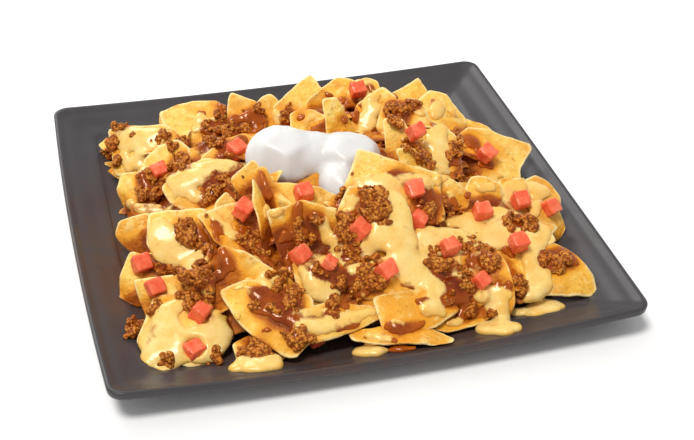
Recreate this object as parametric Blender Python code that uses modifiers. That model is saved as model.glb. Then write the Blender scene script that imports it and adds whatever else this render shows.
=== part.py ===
"""Nachos on a square plate.

A heap of tortilla chips under seasoned beef and cheese sauce, topped with
diced tomato and a two-lobed scoop of sour cream, on a 12-inch square melamine
plate.  Metres, +Z up, origin under the middle of the plate's foot.

Nodes: plate, nacho_heap, sour_cream, tomato_01 ... tomato_24.
"""
import math

import bmesh
import bpy
import numpy as np
from mathutils import Matrix, Vector

MM = 0.001
GAP = 0.35 * MM            # clearance between pieces that touch

# ---- plate (mm)
PLATE_SIDE = 300.0         # between the corner points
PLATE_BOW = 3.0            # how far each side bows out at its middle
PLATE_DIP = 3.9            # how far the lip dips at the middle of a side
CORNER_R = 9.0
SIDE_STEPS, CORNER_STEPS = 6, 3
# inset from the lip, height, share of the bow and dip that is left there
PLATE_TOP = [(2.2, 19.8, 1.0), (5.6, 17.4, 1.0), (10.0, 15.6, 0.95), (16.0, 12.6, 0.85),
             (24.0, 9.8, 0.65), (25.5, 8.7, 0.6), (36.0, 4.7, 0.15), (41.0, 4.0, 0.0)]
PLATE_UNDER = [(0.6, 19.9, 1.0), (0.0, 19.0, 1.0), (0.3, 15.8, 1.0), (2.0, 14.2, 1.0),
               (9.0, 11.4, 0.95), (22.0, 6.0, 0.65), (36.0, 1.2, 0.1), (43.0, 0.0, 0.0)]

# ---- heap (mm)
HEAP_C = (2.0, -6.0)       # middle of the heap's footprint
HEAP_R = (122.0, 117.0)    # half width and half depth
HEAP_H = 46.0              # crown above the well
WELL_Z = 4.0
CHIP_T = 3.6               # a chip with what clings to it
CORE_AROUND, CORE_RINGS = 34, 7
SKIRT_CHIPS = 17
CROWN_CHIPS = 9           # lying loose between the back row and the cream
HEAP_VOXEL = 1.6           # grain at which cheese and beef close the smallest gaps
HEAP_KEEP = 0.0165         # share of the faces that the even parts of the heap need

# ---- chips laid by hand: name, x, y, z, facing, tilt, spin, length, width
# facing 0 looks to -Y, 90 to +X; tilt 0 lies flat, 90 stands; spin turns the
# chip in its own plane, its point at 0 towards the side and at 90 uphill (mm, degrees)
CHIPS = [
    ("back_left", -62, 96, 29, -15, 26, 150, 75, 54),
    ("back_upright", -33, 81, 35, -10, 42, 0, 36, 50),
    ("back_round", -16, 85, 33, 5, 34, 75, 46, 36),
    ("back_peak", 9, 83, 35, -10, 34, 90, 47, 62),
    ("back_gold", 16, 23, 55, 10, 50, 90, 42, 32),
    ("back_flat", 36, 87, 37, 0, 22, 75, 42, 50),
    ("back_dome", 50, 84, 38, 5, 30, 75, 56, 40),
    ("back_cheese", 47, 48, 38, -15, 42, 180, 40, 60),
    ("back_triangle", 84, 78, 28, 5, 32, 75, 60, 50),
    ("back_right_cheese", 93, 57, 29, 25, 30, 330, 52, 70),
    ("back_right_fold", 106, 50, 20, 25, 35, 315, 48, 50),
    ("right_back_big", 111, 10, 26, 15, 28, 240, 62, 66),
    ("mid_back_lift", 62, 40, 43, -5, 32, 195, 52, 46),
    ("mid_back_stand", 48, -4, 50, -10, 48, 105, 44, 36),
    ("right_cheese", 71, -7, 44, 10, 35, 60, 56, 46),
    ("right_box", 87, -44, 37, 0, 38, 330, 38, 38),
    ("right_upper", 106, -42, 25, 5, 40, 255, 52, 42),
    ("right_edge", 121, -35, 21, 25, 38, 195, 52, 44),
    ("right_edge_low", 121, -56, 17, 35, 42, 60, 42, 52),
    ("right_front_tip", 109, -101, 19, 15, 18, 195, 57, 60),
    ("right_stand", 73, -110, 23, -30, 52, 300, 44, 40),
    ("right_field", 75, -78, 30, 5, 22, 345, 80, 60),
    ("centre_right", 25, -55, 54, -5, 36, 345, 76, 60),
    ("centre_wing", 60, -54, 48, 0, 45, 240, 32, 44),
    ("centre_face", 9, -78, 46, -10, 50, 120, 58, 70),
    ("centre_low", 43, -90, 32, 0, 35, 0, 70, 50),
    ("under_cream", -17, -46, 50, 0, 35, 150, 54, 48),
    ("centre_stand", -30, -74, 46, -5, 60, 270, 52, 50),
    ("centre_narrow", -49, -62, 48, 40, 62, 75, 44, 30),
    ("left_of_cream", -50, -26, 52, -20, 58, 300, 44, 32),
    ("centre_dish", -60, -56, 43, 20, 22, 285, 62, 50),
    ("centre_gold", -63, -86, 29, -15, 55, 240, 40, 62),
    ("left_of_centre", -71, -3, 41, -15, 35, 300, 50, 62),
    ("left_middle", -53, 25, 43, -10, 30, 180, 62, 48),
    ("low_middle", -28, -96, 31, -5, 45, 0, 46, 46),
    ("low_right", 20, -101, 29, 0, 45, 180, 66, 50),
    ("left_round_tip", -108, 95, 16, -40, 20, 90, 30, 40),
    ("left_cheese", -99, 71, 24, -30, 40, 270, 54, 66),
    ("left_pale_tip", -110, 67, 15, -60, 25, 15, 34, 30),
    ("left_gold", -110, 29, 23, -40, 50, 150, 44, 40),
    ("left_arc", -88, 30, 30, -25, 40, 210, 50, 62),
    ("left_lobe", -110, -18, 23, -45, 50, 330, 42, 42),
    ("left_front", -92, -45, 34, -20, 45, 90, 54, 66),
    ("left_low_a", -118, -52, 19, -35, 42, 0, 42, 40),
    ("left_low_b", -107, -76, 19, -20, 46, 30, 42, 52),
    ("left_low_point", -85, -82, 29, -10, 45, 60, 34, 48),
    ("front_big", -55, -113, 24, -10, 24, 30, 50, 70),
    ("front_right_gold", 21, -121, 21, 5, 28, 270, 44, 48),
    ("front_crescent", 50, -122, 18, 10, 28, 15, 52, 40),
    ("front_low", 12, -126, 17.5, 0, 8, 165, 52, 38),
    ("front_left", -102, -98, 16, -15, 24, 195, 60, 66),
    ("front_left_low", -66, -120, 13, -5, 10, 75, 36, 40),
]

CURLED = {"back_left", "back_peak", "right_back_big", "right_front_tip", "right_field", "centre_right",
          "centre_face", "centre_dish", "low_right", "left_cheese", "left_front", "front_big", "front_left"}

# ---- tomato dice: x, y, z, turn, lean, size (mm, degrees)
DICE = [
    (-95, 34, 33, 20, 20, 9.6), (-49, 18, 51, 35, 15, 10.2), (-58, -46, 51, 50, 25, 9.8),
    (43, 78, 48, 5, 30, 9.6), (-23, -46, 57, 12, 25, 9.8), (-34, -84, 42, 40, 45, 9.4),
    (-20, -95, 42, 60, 30, 7.0), (1, -80, 51, 48, 35, 10.4), (38, -61, 59, 8, 35, 9.8),
    (37, -74, 47, 55, 30, 9.4), (78, -67, 42, 4, 25, 9.8), (110, -48, 32, 10, 35, 9.8),
    (129, -50, 25, 28, 45, 9.6), (50, -92, 39, 18, 25, 9.6), (92, -91, 34, 10, 25, 9.8),
    (10, -103, 37, 30, 40, 10.0), (62, -112, 27, 40, 40, 8.6), (56, -6, 63, 25, 40, 9.6),
    (107, 5, 33, 40, 25, 10.2), (-118, -50, 27, 15, 45, 9.8), (-114, -75, 28, 20, 45, 9.4),
    (-93, -98, 24, 50, 25, 9.6), (-100, -115, 12, 28, 10, 10.0), (-35, -121, 13.5, 30, 12, 9.4),
]

# ---- sour cream: x, y, half width, half depth, crown (mm)
CREAM_LOBES = [(-26.0, -2.0, 21.5, 21.0, 73.0), (11.0, -11.0, 22.5, 21.0, 68.5), (-1.0, -32.0, 10.0, 14.0, 60.5),
               (-4.3, 2.6, 16.4, 13.5, 66.8)]
CREAM_BASE_Z = 43.7


def clear_scene():
    for obj in list(bpy.data.objects):
        bpy.data.objects.remove(obj, do_unlink=True)


def make_collection(name):
    col = bpy.data.collections.new(name)
    bpy.context.scene.collection.children.link(col)
    return col


def principled(name, colour, roughness, metallic=0.0):
    mat = bpy.data.materials.new(name)
    mat.use_nodes = True
    bsdf = next(n for n in mat.node_tree.nodes if n.type == "BSDF_PRINCIPLED")
    bsdf.inputs["Base Color"].default_value = (*colour, 1.0)
    bsdf.inputs["Roughness"].default_value = roughness
    bsdf.inputs["Metallic"].default_value = metallic
    return mat


def add_object(name, bm, col, mat=None, cutter=False, smooth=False):
    mesh = bpy.data.meshes.new(name)
    bmesh.ops.recalc_face_normals(bm, faces=bm.faces)
    bm.to_mesh(mesh)
    bm.free()
    obj = bpy.data.objects.new(name, mesh)
    col.objects.link(obj)
    if mat:
        mesh.materials.append(mat)
    if smooth:
        mesh.shade_smooth()
        mesh.set_sharp_from_angle(angle=math.radians(38))
    if cutter:
        obj.hide_render = True
        obj.display_type = "WIRE"
    return obj


# ---------------------------------------------------------------- plate
def plate_ring(bm, inset, height, share, lift=0.0):
    """One closed ring of the plate: a square with round corners whose sides bow out and dip."""
    half = PLATE_SIDE / 2 - inset
    r = max(2.0, CORNER_R - 0.15 * inset)
    verts = []
    for side in range(4):
        turn = side * math.pi / 2
        run = half - r
        for i in range(SIDE_STEPS):
            t = -1 + 2 * i / SIDE_STEPS
            swell = (1 - t * t) * share
            x, y = t * run, -half - PLATE_BOW * swell
            z = height - PLATE_DIP * swell * (1 if height > 6 else 0.5)
            verts.append(bm.verts.new(plate_point(x, y, z + lift, turn)))
        for i in range(CORNER_STEPS):
            a = (i / CORNER_STEPS) * math.pi / 2
            x, y = run + r * math.sin(a), -run - r * math.cos(a)
            verts.append(bm.verts.new(plate_point(x, y, height + lift, turn)))
    return verts


def plate_point(x, y, z, turn):
    c, s = math.cos(turn), math.sin(turn)
    return Vector((x * c - y * s, x * s + y * c, z)) * MM


def bridge(bm, a, b):
    n = len(a)
    for i in range(n):
        j = (i + 1) % n
        bm.faces.new((a[i], a[j], b[j], b[i]))


def build_plate(col):
    bm = bmesh.new()
    profile = PLATE_TOP[::-1] + PLATE_UNDER
    rings = [plate_ring(bm, *p) for p in profile]
    for a, b in zip(rings, rings[1:]):
        bridge(bm, a, b)
    bm.faces.new(rings[0])
    bm.faces.new(rings[-1][::-1])
    mat = principled("plate_melamine", (0.085, 0.080, 0.085), 0.32)
    return add_object("plate", bm, col, mat, smooth=True)


def plate_clearance(col):
    """The space the plate takes up to its top surface, with the gap kept to the food."""
    bm = bmesh.new()
    rings = [plate_ring(bm, i, z, s, GAP / MM) for i, z, s in PLATE_TOP[::-1]]
    low = plate_ring(bm, -8.0, 20.0, 1.0, GAP / MM)
    floor = plate_ring(bm, -8.0, -12.0, 0.0)
    for a, b in zip(rings + [low], rings[1:] + [low, floor]):
        bridge(bm, a, b)
    bm.faces.new(rings[0])
    bm.faces.new(floor[::-1])
    return add_object("cut_plate", bm, col, cutter=True)


# ---------------------------------------------------------------- heap
def outline_swing(a):
    """How the heap's edge wanders in and out around the plate."""
    return 1 + 0.028 * math.sin(3 * a + 0.6) + 0.024 * math.sin(7 * a + 2.1) + 0.018 * math.sin(13 * a + 0.9)


def core_height(x, y):
    u, v = abs(x - HEAP_C[0]) / HEAP_R[0], abs(y - HEAP_C[1]) / HEAP_R[1]
    r = (u ** 3 + v ** 3) ** (1 / 3)
    lumps = 1.6 * math.sin(x / 7.5 + 1.3) * math.cos(y / 6.2) + 1.2 * math.sin(x / 4.1 - y / 9.0)
    return WELL_Z + 3 + max(0.0, HEAP_H * (1 - r ** 1.9) - 5) + lumps * min(1.0, 3 * (1 - min(r, 1)))


def build_core(col, mat):
    bm = bmesh.new()
    rings = []
    for k in range(CORE_RINGS, 0, -1):
        s = (k / CORE_RINGS) ** 0.8
        ring = []
        for i in range(CORE_AROUND):
            a = 2 * math.pi * i / CORE_AROUND
            c, q = math.cos(a), math.sin(a)
            square = (abs(c) ** 3 + abs(q) ** 3) ** (-1 / 3)
            m = 0.95 * s * square * outline_swing(a)
            x, y = HEAP_C[0] + HEAP_R[0] * m * c, HEAP_C[1] + HEAP_R[1] * m * q
            ring.append(bm.verts.new(Vector((x, y, core_height(x, y))) * MM))
        rings.append(ring)
    foot = [bm.verts.new(Vector((v.co.x, v.co.y, (WELL_Z - 4) * MM))) for v in rings[0]]
    bridge(bm, foot, rings[0])
    for a, b in zip(rings, rings[1:]):
        bridge(bm, a, b)
    top = bm.verts.new(Vector((HEAP_C[0], HEAP_C[1], WELL_Z + HEAP_H - 2)) * MM)
    last = rings[-1]
    for i in range(CORE_AROUND):
        bm.faces.new((last[i], last[(i + 1) % CORE_AROUND], top))
    bm.faces.new(foot[::-1])
    return add_object("nacho_heap", bm, col, mat, smooth=False)


def chip_frame(x, y, z, facing, tilt, spin):
    """Matrix whose X runs along the chip's point, Z out of its face."""
    f, t = math.radians(facing), math.radians(tilt)
    n = Vector((math.sin(t) * math.sin(f), -math.sin(t) * math.cos(f), math.cos(t)))
    side = Vector((math.cos(f), math.sin(f), 0.0))
    up = n.cross(side)
    s = math.radians(spin)
    point = side * math.cos(s) + up * math.sin(s)
    cross = n.cross(point)
    return Matrix((
        (point.x, cross.x, n.x, x * MM),
        (point.y, cross.y, n.y, y * MM),
        (point.z, cross.z, n.z, z * MM),
        (0, 0, 0, 1)))


def add_chip(name, frame, length, width, bulge, col):
    """A triangular tortilla chip with cut-off corners, its middle curled up by bulge (mm)."""
    bm = bmesh.new()
    corners = [Vector((2 * length / 3, 0)), Vector((-length / 3, width / 2)), Vector((-length / 3, -width / 2))]
    rim = []
    for i, c in enumerate(corners):
        for other in (corners[i - 1], corners[(i + 1) % 3]):
            rim.append(c + (other - c).normalized() * 4.5)
    rim = [(p.x, p.y) for p in rim]

    def layer(z):
        ring = [bm.verts.new(frame @ (Vector((px, py, z)) * MM)) for px, py in rim]
        hub = bm.verts.new(frame @ (Vector((0, 0, z + bulge)) * MM)) if bulge else None
        return ring, hub

    lower, lo_hub = layer(-CHIP_T / 2)
    upper, hi_hub = layer(CHIP_T / 2)
    n = len(rim)
    if not bulge:
        bm.faces.new(upper)
        bm.faces.new(lower[::-1])
    for i in range(n):
        j = (i + 1) % n
        if bulge:
            bm.faces.new((upper[i], upper[j], hi_hub))
            bm.faces.new((lower[j], lower[i], lo_hub))
        bm.faces.new((lower[i], lower[j], upper[j], upper[i]))
    return add_object(name, bm, col, cutter=True)


def skirt_rows():
    """Chips that lean round the sides and the back of the heap, out of the front row's way."""
    rng = np.random.default_rng(11)
    rows = []
    for i in range(SKIRT_CHIPS):
        a = math.radians(-12 + 204 * i / (SKIRT_CHIPS - 1))
        c, q = math.cos(a), math.sin(a)
        square = (abs(c) ** 3 + abs(q) ** 3) ** (-1 / 3)
        m = square * (0.80 if i % 2 else 0.90)
        x, y = HEAP_C[0] + HEAP_R[0] * m * c, HEAP_C[1] + HEAP_R[1] * m * q
        facing = math.degrees(math.atan2(q, c)) + 90 + rng.uniform(-14, 14)
        tilt = (34 if i % 2 else 16) + rng.uniform(-6, 6)
        z = (24 if i % 2 else 14) + rng.uniform(-1.5, 1.5)
        rows.append(("skirt_%02d" % i, x, y, z, facing, tilt, rng.uniform(0, 360), 54, 58))
    return rows


def crown_rows():
    """Chips that lie on the back of the crown, turned by the golden angle."""
    rng = np.random.default_rng(23)
    rows = []
    for i in range(CROWN_CHIPS):
        a = i * 2.39996
        m = 44 * math.sqrt((i + 0.5) / CROWN_CHIPS)
        x, y = 6 + 1.25 * m * math.cos(a), 44 + 0.8 * m * math.sin(a)
        facing = math.degrees(math.atan2(y, x)) + 90 + rng.uniform(-40, 40)
        rows.append(("crown_%02d" % i, x, y, core_height(x, y) + 1.5, facing,
                     14 + rng.uniform(-6, 12), rng.uniform(0, 360), 52, 56))
    return rows


# ---------------------------------------------------------------- toppings
def build_die(name, x, y, z, turn, lean, size, col, mat, grow=0.0, cutter=False):
    bm = bmesh.new()
    bmesh.ops.create_cube(bm, size=1.0)
    rng = np.random.default_rng(int(abs(x) * 7 + abs(y) * 3))
    dims = size * np.array([1.0, rng.uniform(0.9, 1.04), rng.uniform(0.84, 0.98)]) + 2 * grow
    bmesh.ops.scale(bm, vec=Vector(dims) * MM, verts=bm.verts)
    if not cutter:
        bmesh.ops.bevel(bm, geom=bm.edges[:], offset=1.1 * MM, segments=1, affect="EDGES", clamp_overlap=True)
    obj = add_object(name, bm, col, mat, cutter=cutter, smooth=not cutter)
    obj.location = Vector((x, y, z)) * MM
    obj.rotation_euler = (math.radians(lean), 0.0, math.radians(turn))
    return obj


def cream_lobe(lobe, grow, name, col, cutter=True):
    """A mound with faint spoon ridges, flat below."""
    cx, cy, rx, ry, crown = lobe
    bm = bmesh.new()
    bmesh.ops.create_uvsphere(bm, u_segments=16, v_segments=9, radius=1.0)
    high = crown - CREAM_BASE_Z
    for v in bm.verts:
        a = math.atan2(v.co.y, v.co.x)
        ridge = 1 + 0.030 * math.sin(3 * a + 5 * v.co.z) + 0.015 * math.sin(7 * a + 2)
        z = v.co.z * (high if v.co.z > 0 else 5.0)
        flat = math.sqrt(max(0.0, 1 - abs(v.co.z) ** 2.6))
        here = math.sqrt(max(1e-9, 1 - v.co.z ** 2))
        k = flat / here * ridge if here > 1e-3 else 1
        v.co = Vector((cx + v.co.x * k * (rx + grow), cy + v.co.y * k * (ry + grow),
                       CREAM_BASE_Z + z + (grow if v.co.z > 0 else -grow))) * MM
    return add_object(name, bm, col, cutter=cutter)


def build_cream(col, cutters, mat):
    whole = cream_lobe(CREAM_LOBES[0], 0.0, "sour_cream", col, cutter=False)
    whole.data.materials.append(mat)
    for i, lobe in enumerate(CREAM_LOBES[1:]):
        union(whole, cream_lobe(lobe, 0.0, "sour_cream_lobe_%d" % i, cutters))


def union(obj, other, operation="UNION"):
    mod = obj.modifiers.new(operation.lower(), "BOOLEAN")
    mod.operation = operation
    mod.solver = "EXACT"
    mod.object = other
    return mod


def bake_outer_skin(obj):
    """Apply the modifiers and keep the largest closed skin: pockets shut inside the heap are filled solid."""
    bpy.context.view_layer.update()
    graph = bpy.context.evaluated_depsgraph_get()
    mesh = bpy.data.meshes.new_from_object(obj.evaluated_get(graph))
    obj.modifiers.clear()
    obj.data = mesh
    bm = bmesh.new()
    bm.from_mesh(mesh)
    left, islands = set(bm.faces), []
    while left:
        seed = left.pop()
        island, stack = [seed], [seed]
        while stack:
            for edge in stack.pop().edges:
                if len(edge.link_faces) != 2:
                    continue
                for face in edge.link_faces:
                    if face in left:
                        left.remove(face)
                        island.append(face)
                        stack.append(face)
        islands.append(island)
    islands.sort(key=len, reverse=True)
    for island in islands[1:]:
        bmesh.ops.delete(bm, geom=island, context="FACES")
    bm.to_mesh(mesh)
    bm.free()


def main():
    clear_scene()
    parts = make_collection("nachos_on_plate")
    cutters = make_collection("nachos_cutters")
    chips = make_collection("nachos_chip_shapes")
    dice_room = make_collection("nachos_dice_room")

    build_plate(parts)
    heap_mat = principled("nacho_chips", (0.80, 0.52, 0.17), 0.55)
    heap = build_core(parts, heap_mat)
    rng = np.random.default_rng(5)
    for name, x, y, z, facing, tilt, spin, length, width in CHIPS + skirt_rows() + crown_rows():
        frame = chip_frame(x, y, z, facing, tilt, spin)
        curl = rng.uniform(1.5, 3.5) if name in CURLED else 0.0
        add_chip("chip_" + name, frame, length, width, curl, chips)

    cream_mat = principled("sour_cream", (0.90, 0.89, 0.86), 0.30)
    build_cream(parts, cutters, cream_mat)
    cream_room = [cream_lobe(l, GAP / MM, "cut_cream_%d" % i, cutters) for i, l in enumerate(CREAM_LOBES)]

    tomato = principled("tomato", (0.75, 0.10, 0.045), 0.25)
    for i, row in enumerate(DICE):
        build_die("tomato_%02d" % (i + 1), *row, parts, tomato)
        build_die("cut_tomato_%02d" % (i + 1), *row, dice_room, None, grow=GAP / MM, cutter=True)

    pile = heap.modifiers.new("chips", "BOOLEAN")
    pile.operation, pile.solver = "UNION", "EXACT"
    pile.operand_type, pile.collection = "COLLECTION", chips
    bake_outer_skin(heap)
    melt = heap.modifiers.new("melt_together", "REMESH")
    melt.mode, melt.voxel_size = "VOXEL", HEAP_VOXEL * MM
    thin_out = heap.modifiers.new("thin_out", "DECIMATE")
    thin_out.ratio = HEAP_KEEP
    bake_outer_skin(heap)
    union(heap, plate_clearance(cutters), "DIFFERENCE")
    for lobe in cream_room:
        union(heap, lobe, "DIFFERENCE")
    room = heap.modifiers.new("dice", "BOOLEAN")
    room.operation, room.solver = "DIFFERENCE", "EXACT"
    room.operand_type, room.collection = "COLLECTION", dice_room
    bake_outer_skin(heap)


main()
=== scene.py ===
"""The looks of nachos on a square plate: chips, cheese sauce, seasoned beef in its gravy,
tomato dice and sour cream on a dark melamine plate.  Lengths below are millimetres in the
part's own frame; they become metres where a mesh is made."""

import math

import bpy
import numpy as np
import openvdb as vdb
from mathutils import Matrix, Vector
from mathutils.bvhtree import BVHTree


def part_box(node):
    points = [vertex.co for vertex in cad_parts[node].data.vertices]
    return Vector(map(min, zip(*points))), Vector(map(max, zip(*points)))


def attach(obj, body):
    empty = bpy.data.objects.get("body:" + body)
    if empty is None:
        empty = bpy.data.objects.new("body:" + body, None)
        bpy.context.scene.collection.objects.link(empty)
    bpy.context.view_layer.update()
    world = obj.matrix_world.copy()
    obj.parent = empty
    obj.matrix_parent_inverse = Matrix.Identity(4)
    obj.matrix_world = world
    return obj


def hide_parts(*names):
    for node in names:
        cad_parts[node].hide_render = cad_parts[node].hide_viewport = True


MM = 0.001
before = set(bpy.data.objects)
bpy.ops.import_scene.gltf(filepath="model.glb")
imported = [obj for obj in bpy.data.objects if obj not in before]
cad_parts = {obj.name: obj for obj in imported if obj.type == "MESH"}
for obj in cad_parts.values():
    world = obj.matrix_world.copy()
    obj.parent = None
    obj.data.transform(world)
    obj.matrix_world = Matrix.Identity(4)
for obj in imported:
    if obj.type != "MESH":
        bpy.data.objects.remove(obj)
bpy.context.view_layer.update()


# ================================================================ helpers
def lattice(ix, iy, iz, seed):
    h = (ix * 374761393 + iy * 668265263 + iz * 1274126177 + seed * 362437) & 0xFFFFFFFF
    h = ((h ^ (h >> 13)) * 1103515245) & 0xFFFFFFFF
    h = ((h ^ (h >> 16)) * 69069) & 0xFFFFFFFF
    return (h & 0xFFFF) / 32767.5 - 1.0


def vnoise(p, scale, seed=0):
    """Smooth value noise in -1..1 at points p (n by 3), features about scale across."""
    q = np.asarray(p, float) / scale
    i = np.floor(q).astype(np.int64)
    f = q - i
    f = f * f * (3 - 2 * f)
    out = np.zeros(len(q))
    for dx in (0, 1):
        for dy in (0, 1):
            for dz in (0, 1):
                w = (f[:, 0] if dx else 1 - f[:, 0]) * (f[:, 1] if dy else 1 - f[:, 1]) * (f[:, 2] if dz else 1 - f[:, 2])
                out += w * lattice(i[:, 0] + dx, i[:, 1] + dy, i[:, 2] + dz, seed)
    return out


def fbm(p, scale, seed=0, octaves=3):
    out, amp = 0.0, 1.0
    for k in range(octaves):
        out = out + amp * vnoise(p, scale, seed + 17 * k)
        scale, amp = scale * 0.5, amp * 0.5
    return out / 1.75


def unit(v):
    v = np.asarray(v, float)
    return v / max(1e-9, np.linalg.norm(v))


class Shape:
    """Vertices (mm), faces of any size and named point values, gathered before they become one mesh."""

    def __init__(self):
        self.verts, self.faces, self.values, self.count = [], [], {}, 0

    def add(self, verts, faces, **values):
        for f in faces:
            f = np.asarray(f)
            if len(f):
                self.faces.append(f + self.count)
        self.verts.append(np.asarray(verts, float))
        for k, v in values.items():
            self.values.setdefault(k, []).append(np.broadcast_to(np.asarray(v, float), (len(verts),)))
        self.count += len(verts)

    def points(self):
        return np.concatenate(self.verts)

    def triangles(self):
        return sum(len(f) * (f.shape[1] - 2) for f in self.faces)


def make_mesh(name, shape, mat=None, smooth=True):
    verts = shape.points() * MM
    mesh = bpy.data.meshes.new(name)
    loops = np.concatenate([f.ravel() for f in shape.faces]).astype(np.int32)
    sizes = np.concatenate([np.full(len(f), f.shape[1]) for f in shape.faces])
    starts = np.concatenate([[0], np.cumsum(sizes)[:-1]]).astype(np.int32)
    mesh.vertices.add(len(verts))
    mesh.vertices.foreach_set("co", verts.astype(np.float32).ravel())
    mesh.loops.add(len(loops))
    mesh.loops.foreach_set("vertex_index", loops)
    mesh.polygons.add(len(sizes))
    mesh.polygons.foreach_set("loop_start", starts)
    mesh.update(calc_edges=True)
    mesh.validate()
    for key, parts in shape.values.items():
        data = np.concatenate(parts)
        if len(data) == len(mesh.vertices):
            attr = mesh.attributes.new(key, "FLOAT", "POINT")
            attr.data.foreach_set("value", data.astype(np.float32))
    if smooth:
        mesh.shade_smooth()
    obj = bpy.data.objects.new(name, mesh)
    bpy.context.scene.collection.objects.link(obj)
    if mat:
        mesh.materials.append(mat)
    return obj


def bvh_of(shape):
    faces = [tuple(int(v) for v in f) for part in shape.faces for f in part]
    return BVHTree.FromPolygons([tuple(v) for v in shape.points()], faces)


# ================================================================ the heap's rough form
HEAP_C, HEAP_R, HEAP_H, WELL_Z = (2.0, -6.0), (130.0, 124.0), 46.0, 5.0


def dome(x, y):
    u, v = np.abs(np.asarray(x) - HEAP_C[0]) / HEAP_R[0], np.abs(np.asarray(y) - HEAP_C[1]) / HEAP_R[1]
    r = (u ** 3 + v ** 3) ** (1 / 3)
    return WELL_Z + HEAP_H * np.maximum(0.0, 1 - r ** 1.9)


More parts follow.
